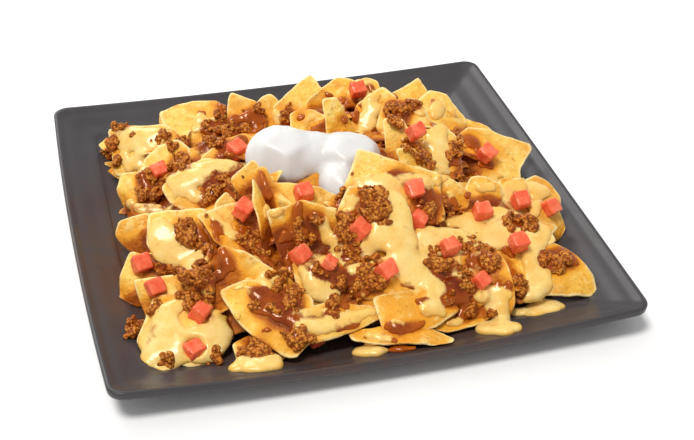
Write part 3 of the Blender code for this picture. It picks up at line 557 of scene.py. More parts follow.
def grain_tex(tree, scale, wander=0.35):
    """Distance from the middle of packed grains, in the object's own coordinates."""
    tc = next((n for n in tree.nodes if n.type == "TEX_COORD"), None) or tree.nodes.new("ShaderNodeTexCoord")
    n = tree.nodes.new("ShaderNodeTexVoronoi")
    n.feature = "SMOOTH_F1"
    n.inputs["Scale"].default_value = scale
    n.inputs["Smoothness"].default_value = 0.35
    n.inputs["Detail"].default_value = 1.0
    n.inputs["Roughness"].default_value = wander
    tree.links.new(tc.outputs["Object"], n.inputs["Vector"])
    return n.outputs["Distance"]


def ramp(tree, fac, stops):
    n = tree.nodes.new("ShaderNodeValToRGB")
    n.color_ramp.elements[0].position, n.color_ramp.elements[0].color = stops[0][0], (*stops[0][1], 1)
    n.color_ramp.elements[1].position, n.color_ramp.elements[1].color = stops[-1][0], (*stops[-1][1], 1)
    for at, colour in stops[1:-1]:
        e = n.color_ramp.elements.new(at)
        e.color = (*colour, 1)
    tree.links.new(fac, n.inputs["Fac"])
    return n.outputs["Color"]


def mix(tree, fac, a, b, blend="MIX"):
    n = tree.nodes.new("ShaderNodeMix")
    n.data_type, n.blend_type = "RGBA", blend
    for value, at in ((fac, 0), (a, 6), (b, 7)):
        if isinstance(value, (int, float)):
            n.inputs[at].default_value = value
        elif isinstance(value, tuple):
            n.inputs[at].default_value = (*value, 1)
        else:
            tree.links.new(value, n.inputs[at])
    return n.outputs[2]


def maths(tree, op, a, b=None, clamp=False):
    n = tree.nodes.new("ShaderNodeMath")
    n.operation, n.use_clamp = op, clamp
    for k, value in enumerate((a, b)):
        if value is None:
            continue
        if isinstance(value, (int, float)):
            n.inputs[k].default_value = value
        else:
            tree.links.new(value, n.inputs[k])
    return n.outputs[0]


def remap(tree, value, lo, hi, to_lo=0.0, to_hi=1.0, smooth=True):
    n = tree.nodes.new("ShaderNodeMapRange")
    n.interpolation_type = "SMOOTHSTEP" if smooth else "LINEAR"
    n.inputs["From Min"].default_value, n.inputs["From Max"].default_value = lo, hi
    n.inputs["To Min"].default_value, n.inputs["To Max"].default_value = to_lo, to_hi
    tree.links.new(value, n.inputs["Value"])
    return n.outputs["Result"]


def value_of(tree, name):
    n = tree.nodes.new("ShaderNodeAttribute")
    n.attribute_name = name
    return n.outputs["Fac"]


def bump(tree, bsdf, height, distance, strength=1.0):
    n = tree.nodes.new("ShaderNodeBump")
    n.inputs["Distance"].default_value = distance
    n.inputs["Strength"].default_value = strength
    tree.links.new(height, n.inputs["Height"])
    tree.links.new(n.outputs["Normal"], bsdf.inputs["Normal"])


def chip_material():
    mat, tree, bsdf = material("fried_corn_chip")
    tint, edge, blister = value_of(tree, "tint"), value_of(tree, "edge"), value_of(tree, "blister")
    soak_and_painted_shade = value_of(tree, "soak_and_painted_shade")
    cloud = noise_tex(tree, 60, 5, 0.62)
    patch = noise_tex(tree, 22, 3, 0.5, 0.4)
    fleck = noise_tex(tree, 430, 3, 0.6)
    grain = noise_tex(tree, 1500, 2, 0.6)
    body = ramp(tree, cloud, [(0.30, (0.64, 0.24, 0.015)), (0.46, (0.84, 0.44, 0.048)), (0.64, (0.92, 0.60, 0.120))])
    body = mix(tree, remap(tree, tint, -1, 1, 0.0, 0.55, False), body, (0.92, 0.66, 0.19))
    body = mix(tree, remap(tree, patch, 0.48, 0.66, 0, 0.72), body, (0.72, 0.29, 0.020))
    body = mix(tree, remap(tree, edge, 0.90, 1.0, 0, 0.85), body, (0.95, 0.76, 0.36))
    body = mix(tree, maths(tree, "MULTIPLY", remap(tree, blister, 0.25, 0.95), 0.45), body, (0.95, 0.72, 0.28))
    bubble = noise_tex(tree, 210, 3, 0.55, 0.5)
    body = mix(tree, remap(tree, bubble, 0.55, 0.70, 0, 0.45), body, (0.95, 0.74, 0.32))
    body = mix(tree, remap(tree, bubble, 0.42, 0.30, 0, 0.45), body, (0.66, 0.25, 0.018))
    body = mix(tree, remap(tree, fleck, 0.60, 0.71, 0, 0.68), body, (0.42, 0.14, 0.02))
    body = mix(tree, remap(tree, fleck, 0.36, 0.28, 0, 0.35), body, (0.93, 0.72, 0.36))
    # the soak-and-shade value darkens the chip: gravy soak plus painted shade deep between chips and on the under chips
    soak_and_shade_level = maths(tree, "MULTIPLY", soak_and_painted_shade, remap(tree, cloud, 0.25, 0.60, 0.50, 1.15), True)
    body = mix(tree, remap(tree, soak_and_shade_level, 0.04, 0.34, 0.0, 0.85), body, (0.82, 0.34, 0.018))
    body = mix(tree, remap(tree, soak_and_shade_level, 0.26, 0.62, 0.0, 0.95), body, (0.45, 0.105, 0.005))
    body = mix(tree, remap(tree, soak_and_shade_level, 0.62, 1.0, 0.0, 0.90), body, (0.19, 0.028, 0.002))
    tree.links.new(body, bsdf.inputs["Base Color"])
    rough = maths(tree, "SUBTRACT", remap(tree, cloud, 0.35, 0.65, 0.44, 0.60), maths(tree, "MULTIPLY", soak_and_shade_level, 0.26))
    tree.links.new(rough, bsdf.inputs["Roughness"])
    height = maths(tree, "ADD", maths(tree, "MULTIPLY", fleck, 0.9), maths(tree, "MULTIPLY", grain, 0.25))
    height = maths(tree, "ADD", height, maths(tree, "MULTIPLY", bubble, 1.4))
    bump(tree, bsdf, height, 0.0010, 0.72)
    bsdf.inputs["Subsurface Weight"].default_value = 0.08
    bsdf.inputs["Subsurface Radius"].default_value = (0.004, 0.0018, 0.0005)
    bsdf.inputs["Subsurface Scale"].default_value = 0.6
    bsdf.inputs["Specular IOR Level"].default_value = 0.28
    bsdf.inputs["Specular Tint"].default_value = (1.0, 0.84, 0.60, 1)
    return mat


def core_material():
    """What shows deep between the chips: broken chips soaked with gravy, coloured dark brown partly as painted shade
    for the gaps.
    """
    mat, tree, bsdf = material("soaked_crumb_painted_shade")
    cloud = noise_tex(tree, 120, 5, 0.65)
    fine = noise_tex(tree, 800, 3, 0.6)
    # dark browns: gravy soak and painted shade for the gaps
    tree.links.new(ramp(tree, cloud, [(0.32, (0.16, 0.035, 0.004)), (0.50, (0.34, 0.095, 0.012)), (0.68, (0.56, 0.22, 0.035))]), bsdf.inputs["Base Color"])
    tree.links.new(remap(tree, fine, 0.3, 0.7, 0.30, 0.55), bsdf.inputs["Roughness"])
    bump(tree, bsdf, maths(tree, "ADD", cloud, maths(tree, "MULTIPLY", fine, 0.3)), 0.0014, 0.7)
    return mat


def sauce_material():
    mat, tree, bsdf = material("cheese_sauce_and_gravy")
    gravy = value_of(tree, "gravy")
    thick = value_of(tree, "thick")
    spot = value_of(tree, "spot")
    cloud = noise_tex(tree, 95, 4, 0.55)
    blot = noise_tex(tree, 230, 3, 0.6, 0.6)
    fine = noise_tex(tree, 700, 3, 0.6)
    cheese = ramp(tree, cloud, [(0.30, (0.83, 0.495, 0.110)), (0.50, (0.87, 0.60, 0.190)), (0.68, (0.89, 0.665, 0.270))])
    cheese = mix(tree, remap(tree, thick, 0.75, 0.10, 0.0, 0.60), cheese, (0.86, 0.45, 0.055))
    cheese = mix(tree, remap(tree, blot, 0.58, 0.72, 0.0, 0.35), cheese, (0.72, 0.33, 0.070))
    cheese = mix(tree, remap(tree, spot, 0.15, 0.85, 0.0, 0.70), cheese, (0.55, 0.20, 0.030))
    brown = ramp(tree, cloud, [(0.32, (0.105, 0.010, 0.0006)), (0.50, (0.225, 0.030, 0.0012)), (0.70, (0.390, 0.085, 0.003))])
    brown = mix(tree, remap(tree, thick, 0.60, 0.10, 0.0, 0.75), brown, (0.44, 0.095, 0.003))
    both = maths(tree, "ADD", gravy, remap(tree, blot, 0.3, 0.7, -0.16, 0.16, False))
    colour = mix(tree, remap(tree, both, 0.12, 0.52), cheese, brown)
    tree.links.new(colour, bsdf.inputs["Base Color"])
    dry = maths(tree, "MULTIPLY", remap(tree, gravy, 0.2, 0.6, 1.0, 0.55), remap(tree, fine, 0.3, 0.7, 0.22, 0.34))
    tree.links.new(dry, bsdf.inputs["Roughness"])
    bump(tree, bsdf, maths(tree, "ADD", cloud, maths(tree, "MULTIPLY", fine, 0.15)), 0.0012, 0.40)
    tree.links.new(remap(tree, both, 0.10, 0.45, 0.22, 0.0), bsdf.inputs["Subsurface Weight"])
    bsdf.inputs["Subsurface Radius"].default_value = (0.006, 0.003, 0.001)
    bsdf.inputs["Subsurface Scale"].default_value = 0.5
    bsdf.inputs["Specular IOR Level"].default_value = 0.34
    bsdf.inputs["Coat Weight"].default_value = 0.35
    bsdf.inputs["Coat Roughness"].default_value = 0.14
    tree.links.new(mix(tree, remap(tree, both, 0.10, 0.45), (1.0, 0.84, 0.62), (1.0, 0.56, 0.28)), bsdf.inputs["Specular Tint"])
    return mat


def beef_material():
    mat, tree, bsdf = material("seasoned_beef")
    tint = value_of(tree, "tint")
    cloud = noise_tex(tree, 240, 4, 0.6)
    fine = noise_tex(tree, 1500, 3, 0.65)
    grain = grain_tex(tree, 560)
    body = ramp(tree, cloud, [(0.30, (0.42, 0.090, 0.006)), (0.48, (0.66, 0.215, 0.022)), (0.68, (0.84, 0.38, 0.065))])
    body = mix(tree, remap(tree, tint, -1, 1, 0.0, 0.6, False), body, (0.56, 0.18, 0.022))
    # painted highlight: each grain is lighter in its middle
    body = mix(tree, remap(tree, grain, 0.12, 0.40, 0.60, 0.0), body, (0.92, 0.48, 0.17))
    # painted shade: dark between the grains
    body = mix(tree, remap(tree, grain, 0.52, 0.85, 0.0, 0.85), body, (0.17, 0.022, 0.002))
    body = mix(tree, remap(tree, fine, 0.60, 0.74, 0, 0.35), body, (0.80, 0.38, 0.12))
    tree.links.new(body, bsdf.inputs["Base Color"])
    tree.links.new(remap(tree, cloud, 0.3, 0.7, 0.24, 0.46), bsdf.inputs["Roughness"])
    lump = maths(tree, "SUBTRACT", maths(tree, "MULTIPLY", fine, 0.25), grain)
    bump(tree, bsdf, lump, 0.0013, 0.95)
    bsdf.inputs["Subsurface Weight"].default_value = 0.06
    bsdf.inputs["Subsurface Radius"].default_value = (0.003, 0.001, 0.0005)
    bsdf.inputs["Subsurface Scale"].default_value = 0.5
    bsdf.inputs["Specular IOR Level"].default_value = 0.42
    bsdf.inputs["Specular Tint"].default_value = (1.0, 0.64, 0.36, 1)
    return mat


def tomato_material():
    mat, tree, bsdf = material("tomato_flesh")
    tint = value_of(tree, "tint")
    cloud = noise_tex(tree, 180, 4, 0.6)
    fine = noise_tex(tree, 900, 3, 0.6)
    body = ramp(tree, cloud, [(0.30, (0.80, 0.085, 0.028)), (0.52, (0.90, 0.165, 0.065)), (0.72, (0.93, 0.29, 0.15))])
    body = mix(tree, remap(tree, tint, -1, 1, 0.0, 0.45, False), body, (0.86, 0.115, 0.038))
    body = mix(tree, remap(tree, fine, 0.60, 0.75, 0, 0.4), body, (0.94, 0.36, 0.20))
    tree.links.new(body, bsdf.inputs["Base Color"])
    tree.links.new(remap(tree, fine, 0.3, 0.7, 0.20, 0.36), bsdf.inputs["Roughness"])
    bump(tree, bsdf, maths(tree, "ADD", cloud, maths(tree, "MULTIPLY", fine, 0.3)), 0.0006, 0.35)
    bsdf.inputs["Subsurface Weight"].default_value = 0.35
    bsdf.inputs["Subsurface Radius"].default_value = (0.006, 0.0015, 0.0008)
    bsdf.inputs["Subsurface Scale"].default_value = 0.7
    return mat


def cream_material():
    mat, tree, bsdf = material("sour_cream")
    cloud = noise_tex(tree, 60, 4, 0.5)
    fine = noise_tex(tree, 700, 3, 0.55)
    tree.links.new(ramp(tree, cloud, [(0.35, (0.70, 0.69, 0.67)), (0.65, (0.76, 0.75, 0.735))]), bsdf.inputs["Base Color"])
    tree.links.new(remap(tree, fine, 0.3, 0.7, 0.28, 0.42), bsdf.inputs["Roughness"])
    bump(tree, bsdf, maths(tree, "ADD", cloud, maths(tree, "MULTIPLY", fine, 0.12)), 0.0007, 0.3)
    bsdf.inputs["Subsurface Weight"].default_value = 0.35
    bsdf.inputs["Subsurface Radius"].default_value = (0.004, 0.003, 0.0025)
    bsdf.inputs["Subsurface Scale"].default_value = 0.6
    return mat


def plate_material():
    mat, tree, bsdf = material("dark_melamine")
    cloud = noise_tex(tree, 14, 4, 0.6)
    fine = noise_tex(tree, 900, 3, 0.6)
    smear = noise_tex(tree, 34, 4, 0.6, 0.8)
    grease = maths(tree, "MULTIPLY", value_of(tree, "grease"), remap(tree, smear, 0.36, 0.62, 0.15, 1.0), True)
    body = ramp(tree, cloud, [(0.3, (0.044, 0.040, 0.043)), (0.7, (0.057, 0.052, 0.056))])
    # painted reflection: the plate turns brown near the food, where it would mirror it; the grease also lowers
    # roughness
    body = mix(tree, maths(tree, "MULTIPLY", grease, 0.8), body, (0.115, 0.040, 0.010))
    tree.links.new(body, bsdf.inputs["Base Color"])
    dry = remap(tree, cloud, 0.3, 0.7, 0.30, 0.40)
    tree.links.new(maths(tree, "SUBTRACT", dry, maths(tree, "MULTIPLY", grease, 0.14)), bsdf.inputs["Roughness"])
    bump(tree, bsdf, fine, 0.0001, 0.15)
    bsdf.inputs["Specular IOR Level"].default_value = 0.3
    return mat


# ================================================================ build: plate, chips, core
plate_obj, plate_shape = build_plate(plate_material())
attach(plate_obj, "root")
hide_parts("plate")

rng = np.random.default_rng(7)
chips = Shape()
for name, bulge, normal, corners in CHIPS:
    add_chip(chips, corners, normal, bulge, rng)
under = Shape()
for x, y, z, frng in filler_chips():
    n = slope_normal(x, y) + np.array([frng.uniform(-0.3, 0.3), frng.uniform(-0.3, 0.3), 0.0])
    corners, n = chip_from_place(x, y, z, n, frng.uniform(0, 2 * math.pi), frng.uniform(52, 64), frng.uniform(52, 64))
    add_chip(under, corners, n, frng.uniform(-3, 4), frng, fine=False)


def keep_off_plate(shape, gap=0.3):
    """Food that would sink through the plate's rim or well is pressed up on to it."""
    for k, v in enumerate(shape.verts):
        floor = plate_height(v[:, 0], v[:, 1]) + gap
        low = floor - v[:, 2]
        sink = low > 0
        # squeeze instead of clip, so that both faces of a chip stay apart
        v[sink, 2] = floor[sink] + 0.02 * low[sink]


def plate_height(x, y):
    """The plate's upper surface under x, y."""
    a = np.maximum(np.abs(x), np.abs(y))
    inset = SIDE / 2 - a
    p = np.array(PLATE_TOP)
    z = np.interp(inset, p[:, 0], p[:, 1])
    share = np.interp(inset, p[:, 0], p[:, 2])
    t = np.clip(np.minimum(np.abs(x), np.abs(y)) / 141.0, 0, 1)
    return z - DIP * (1 - t * t) * share * np.where(z > 6, 1.0, 0.5)


def build_core():
    shape = Shape()
    around, rings = 120, 44
    pts = []
    for k in range(rings):
        s = 1 - k / rings
        for i in range(around):
            a = 2 * math.pi * i / around
            c, q = math.cos(a), math.sin(a)
            square = (abs(c) ** 3 + abs(q) ** 3) ** (-1 / 3)
            pts.append((HEAP_C[0] + 108 * s * square * c, HEAP_C[1] + 103 * s * square * q, 0.0))
    pts.append((HEAP_C[0], HEAP_C[1], 0.0))
    pts = np.array(pts)
    pts[:, 2] = np.maximum(4.6, dome(pts[:, 0], pts[:, 1]) - 13.0 + 2.6 * vnoise(pts, 9, 3) + 1.3 * vnoise(pts, 3.6, 4))
    rim = pts[:around].copy()
    rim[:, 2] = 4.3
    i = np.arange(around)
    j = (i + 1) % around
    quads = [np.c_[k * around + i, k * around + j, (k + 1) * around + j, (k + 1) * around + i] for k in range(rings - 1)]
    last = (rings - 1) * around
    top = len(pts) - 1
    tris = [np.c_[last + i, last + j, np.full(around, top)]]
    base = len(pts)
    quads.append(np.c_[base + i, base + j, j, i])
    centre = base + around
    tris.append(np.c_[base + j, base + i, np.full(around, centre)])
    verts = np.concatenate([pts, rim, [[HEAP_C[0], HEAP_C[1], 4.3]]])
    shape.add(verts, quads + tris, tint=0.0, edge=0.2, blister=0.0)
    return shape


CREAM_ROOM = [(-26.0, -2.0, 55.0, 22.5, 22.0, 19.0), (11.0, -11.0, 51.5, 23.5, 22.0, 18.0), (0.5, -31.0, 49.5, 12.0, 16.0, 12.0)]
VIEW = unit((-0.2206, -0.7961, 0.5636))


# tomato dice: x, y, z, turn, lean, size
DICE = [
    (-95, 34, 33, 20, 20, 9.6), (-49, 18, 51, 35, 15, 10.2), (-58, -46, 51, 50, 25, 9.8),
    (43, 78, 48, 5, 30, 9.6), (-23, -46, 57, 12, 25, 9.8), (-34, -84, 42, 40, 45, 9.4),
    (-20, -95, 42, 60, 30, 7.0), (1, -80, 51, 48, 35, 10.4), (38, -61, 59, 8, 35, 9.8),
    (37, -74, 47, 55, 30, 9.4), (78, -67, 42, 4, 25, 9.8), (110, -48, 32, 10, 35, 9.8),
    (129, -50, 25, 28, 45, 9.6), (50, -92, 39, 18, 25, 9.6), (92, -91, 34, 10, 25, 9.8),
    (10, -103, 37, 30, 40, 10.0), (62, -112, 27, 40, 40, 8.6), (56, -6, 63, 25, 40, 9.6),
    (107, 5, 33, 40, 25, 10.2), (-118, -50, 27, 15, 45, 9.8), (-114, -75, 28, 20, 45, 9.4),
    (-93, -98, 24, 50, 25, 9.6), (-100, -115, 12, 28, 10, 10.0), (-35, -121, 13.5, 30, 12, 9.4),
]


def back_chips(count=66):
    """Chips on the back and sides and between the standing ones, where the front view does not reach."""
    bvh = bvh_of(chips)
    r = np.random.default_rng(512)
    spread = np.array([(a, b) for a in np.linspace(0.03, 0.97, 6) for b in np.linspace(0.03, 0.97, 6) if a + b <= 1.01])
    dice_at = np.array([row[:3] for row in DICE], float)
    rows = []
    for _ in range(2600):
        if len(rows) >= count:
            break
        x, y = HEAP_C[0] + r.uniform(-104, 106), HEAP_C[1] + r.uniform(-96, 101)
        if any(math.hypot(x - q[0], y - q[1]) < 15 for q in rows):
            continue
        z = float(dome(x, y)) + r.uniform(-1.0, 4.0)
        n = slope_normal(x, y) + np.array([r.uniform(-0.35, 0.35), r.uniform(-0.10, 0.50), 0.0])
        corners, n = chip_from_place(x, y, z, n, r.uniform(0, 2 * math.pi), r.uniform(50, 61), r.uniform(50, 61))
        c = np.array(corners)
        if np.any(np.abs(c[:, 0]) > 136) or np.any(np.abs(c[:, 1] + 4) > 134) or c[:, 2].max() > 66:
            continue
        p = c[0] + spread[:, :1] * (c[1] - c[0]) + spread[:, 1:] * (c[2] - c[0])
        if np.linalg.norm(p[:, None] - dice_at, axis=2).min() < 8.5:
            continue
        if any(np.any((((p - q[:3]) / q[3:]) ** 2).sum(1) < 1) for q in np.array(CREAM_ROOM)):
            continue
        shown = sum(bvh.ray_cast(Vector(t) + Vector(VIEW) * 0.6, Vector(VIEW), 250.0)[0] is None for t in p)
        if shown > 1:
            continue
        rows.append((x, y, z, corners, n))
    return rows


placed = back_chips()
print("back chips", len(placed))
brng = np.random.default_rng(513)
for x, y, z, corners, n in placed:
    add_chip(under, corners, n, brng.uniform(-1, 5), brng, fine=False)

keep_off_plate(chips)
keep_off_plate(under)
core = build_core()
chip_mat = chip_material()


# ================================================================ sour cream
def build_cream(mat):
    low, high = (np.array(v) * 1000 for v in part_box("sour_cream"))
    cell = 0.8
    field = Field(low - 3, high + 3, cell)
    g = [low[k] - 3 + cell * np.arange(field.shape[k]) for k in range(3)]
    x, y, z = np.meshgrid(*g, indexing="ij")
    # x, y, z, half sizes, then planes where the spoon drew it flat (normal, how deep)
    lobes = [(-26.0, -2.0, 55.0, 21.3, 20.8, 17.8, 2.6, [((-0.42, -0.80, 0.42), 3.4), ((0.35, -0.86, 0.36), 3.0), ((0.05, -0.42, 0.90), 2.0), ((-0.86, -0.35, 0.36), 1.8)]),
             (-6.5, -3.5, 53.0, 17.0, 16.0, 15.0, 3.4, []),
             (11.0, -11.0, 51.5, 22.3, 20.8, 16.8, 1.5, [((-0.66, -0.66, 0.36), 3.4), ((0.36, -0.82, 0.44), 3.2), ((0.20, -0.30, 0.93), 2.0), ((0.86, -0.40, 0.30), 2.0)]),
             (0.5, -31.0, 49.5, 10.5, 14.5, 10.4, 4.0, [((-0.5, -0.6, 0.6), 1.2)])]
    d = None
    for cx, cy, cz, rx, ry, rz, soft, planes in lobes:
        a = np.arctan2(y - cy, x - cx)
        ridge = 1 + 0.016 * np.sin(3 * a + 0.12 * z) + 0.007 * np.sin(9 * a + 0.35 * z)
        e = (np.sqrt(((x - cx) / rx) ** 2 + ((y - cy) / ry) ** 2 + ((z - cz) / rz) ** 2) - ridge) * min(rx, ry, rz)
        for way, deep in planes:
            n = unit(way)
            far = math.sqrt((rx * n[0]) ** 2 + (ry * n[1]) ** 2 + (rz * n[2]) ** 2)
            f = (x - cx) * n[0] + (y - cy) * n[1] + (z - cz) * n[2] - (far - deep)
            k = 1.5
            h = np.clip(0.5 + 0.5 * (f - e) / k, 0, 1)
            e = e * (1 - h) + f * h + k * h * (1 - h)
        if d is None:
            d = e
        else:
            k = soft
            h = np.clip(0.5 + 0.5 * (e - d) / k, 0, 1)
            d = e * (1 - h) + d * h - k * h * (1 - h)
    d = np.maximum(d, (low[2] + 0.6) - z)
    field.data = (-d).astype(np.float32)
    pts, tris, quads = field.surface(0.0)
    pts = np.clip(pts, low + 0.05, high - 0.05)
    shape = Shape()
    shape.add(pts, [tris, quads])
    obj = make_mesh("sour_cream_dollop", shape, mat)
    return obj, shape


cream_obj, cream_shape = build_cream(cream_material())
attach(cream_obj, "root")
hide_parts("sour_cream")



def rounded_cube(n, r):
    t = np.linspace(-1, 1, n + 1)
    verts, index, quads = [], {}, []

    def at(p):
        key = tuple(round(v, 6) for v in p)
        if key not in index:
            index[key] = len(verts)
            verts.append(p)
        return index[key]

    for axis in range(3):
        for side in (-1.0, 1.0):
            for i in range(n):
                for j in range(n):
                    q = []
                    for a, b in ((i, j), (i + 1, j), (i + 1, j + 1), (i, j + 1)):
                        p = [0.0, 0.0, 0.0]
                        p[axis], p[(axis + 1) % 3], p[(axis + 2) % 3] = side, t[a], t[b]
                        q.append(at(tuple(p)))
                    quads.append(q if side > 0 else q[::-1])
    v = np.array(verts)
    inner = np.clip(v, -1 + r, 1 - r)
    d = v - inner
    length = np.linalg.norm(d, axis=1, keepdims=True)
    v = inner + d / np.maximum(length, 1e-9) * r
    return v, np.array(quads)


CUBE_V, CUBE_Q = rounded_cube(12, 0.24)
tomato_mat = tomato_material()
dice_shapes = []
for i, (x, y, z, turn, lean, size) in enumerate(DICE):
    drng = np.random.default_rng(900 + i)
    cad_low, cad_high = (np.array(v) * 1000 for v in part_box("tomato_%02d" % (i + 1)))
    dims = size * np.array([1.0, drng.uniform(0.90, 1.0), drng.uniform(0.84, 0.96)]) / 2
    v = CUBE_V * dims
    v = v * (1 + 0.12 * drng.uniform(-1, 1) * CUBE_V[:, [1, 2, 0]])
    s = int(drng.integers(1, 9999))
    v = v + CUBE_V * (0.45 * vnoise(v, 3.2, s) + 0.16 * vnoise(v, 1.4, s + 1))[:, None]
    a, b = math.radians(turn), math.radians(lean)
    rz = np.array([[math.cos(a), -math.sin(a), 0], [math.sin(a), math.cos(a), 0], [0, 0, 1]])
    rx = np.array([[1, 0, 0], [0, math.cos(b), -math.sin(b)], [0, math.sin(b), math.cos(b)]])
    v = v @ (rz @ rx).T + [x, y, z]
    shape = Shape()
    shape.add(v, [CUBE_Q], tint=drng.uniform(-1, 1))
    obj = make_mesh("tomato_dice_%02d" % (i + 1), shape, tomato_mat)
    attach(obj, "root")
    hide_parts("tomato_%02d" % (i + 1))
    dice_shapes.append(shape)


# ================================================================ surfaces that sauce and beef lie on
def surface_samples(shape, per_mm2, seed):
    """Points, normals and a piece number spread evenly over the shape's upward faces."""
    pts = shape.points()
    tri = []
    for f in shape.faces:
        if f.shape[1] == 3:
            tri.append(f)
        else:
            tri += [f[:, [0, 1, 2]], f[:, [0, 2, 3]]]
    tri = np.concatenate(tri)
    a, b, c = pts[tri[:, 0]], pts[tri[:, 1]], pts[tri[:, 2]]
    cross = np.cross(b - a, c - a)
    area = np.linalg.norm(cross, axis=1) / 2
    n = cross / (2 * area[:, None] + 1e-12)
    keep = n[:, 2] > 0.03
    a, b, c, n, area = a[keep], b[keep], c[keep], n[keep], area[keep]
    r = np.random.default_rng(seed)
    k = r.poisson(area * per_mm2)
    t = np.repeat(np.arange(len(area)), k)
    u, v = r.random(len(t)), r.random(len(t))
    flip = u + v > 1
    u[flip], v[flip] = 1 - u[flip], 1 - v[flip]
    p = a[t] + (b[t] - a[t]) * u[:, None] + (c[t] - a[t]) * v[:, None]
    return p, n[t]


PER_MM2 = 1.5
parts = [surface_samples(s, PER_MM2, 40 + k) for k, s in enumerate((chips, under, core))]
flat = np.random.default_rng(43).uniform(-148, 148, (int(296 * 296 * PER_MM2), 2))
parts.append((np.c_[flat, plate_height(flat[:, 0], flat[:, 1])], np.tile([0.0, 0.0, 1.0], (len(flat), 1))))
sample_p = np.concatenate([p for p, _ in parts])
sample_n = np.concatenate([n for _, n in parts])
inside = (np.abs(sample_p[:, 0]) < 148) & (np.abs(sample_p[:, 1]) < 148)
sample_p, sample_n = sample_p[inside], sample_n[inside]
on_plate = np.concatenate([np.full(len(p), k == 3) for k, (p, _) in enumerate(parts)])[inside]
order = np.argsort(sample_p[:, 0], kind="stable")
sample_p, sample_n, on_plate = sample_p[order], sample_n[order], on_plate[order]
sample_x = np.ascontiguousarray(sample_p[:, 0])


def samples_in(lo, hi):
    """Numbers of the surface samples inside a box."""
    a, b = np.searchsorted(sample_x, [lo[0], hi[0]])
    part = sample_p[a:b]
    return a + np.where((part[:, 1] > lo[1]) & (part[:, 1] < hi[1]) & (part[:, 2] > lo[2]) & (part[:, 2] < hi[2]))[0]



roof = Shape()
for s in (chips, under, core):
    for v in s.verts:
        pass
roof.verts, roof.faces, roof.count = list(chips.verts), list(chips.faces), chips.count
roof.add(under.points(), under.faces)
roof.add(core.points(), core.faces)
roof_bvh = bvh_of(roof)


def open_to(points, normals, direction, reach=30.0):
    """Which points see out along a direction past the chips."""
    d = Vector(unit(direction))
    out = np.zeros(len(points), bool)
    for k, (p, n) in enumerate(zip(points, normals)):
        start = Vector(p) + Vector(n) * 0.4
        hit = roof_bvh.ray_cast(start, d, reach)
        out[k] = hit[0] is None
    return out


def near_stroke(points, path, wobble=0.0, seed=0):
    """Depth inside a stroke, 1 along its line to 0 at its edge; path rows are x, y, z, radius."""
    path = np.array(path, float)
    best = np.full(len(points), -1.0)
    swing = 1 + wobble * (fbm(points, 8.0, seed) + 0.5 * vnoise(points, 2.6, seed + 9)) if wobble else 1.0
    segs = [(path[i], path[i + 1]) for i in range(len(path) - 1)] or [(path[0], path[0] + [0, 0, 0.01, 0])]
    for a, b in segs:
        ab = b[:3] - a[:3]
        t = np.clip(((points - a[:3]) @ ab) / max(1e-6, ab @ ab), 0, 1)
        d = np.linalg.norm(points - (a[:3] + t[:, None] * ab), axis=1)
        r = (a[3] + (b[3] - a[3]) * t) * swing
        best = np.maximum(best, 1 - d / r)
    return best


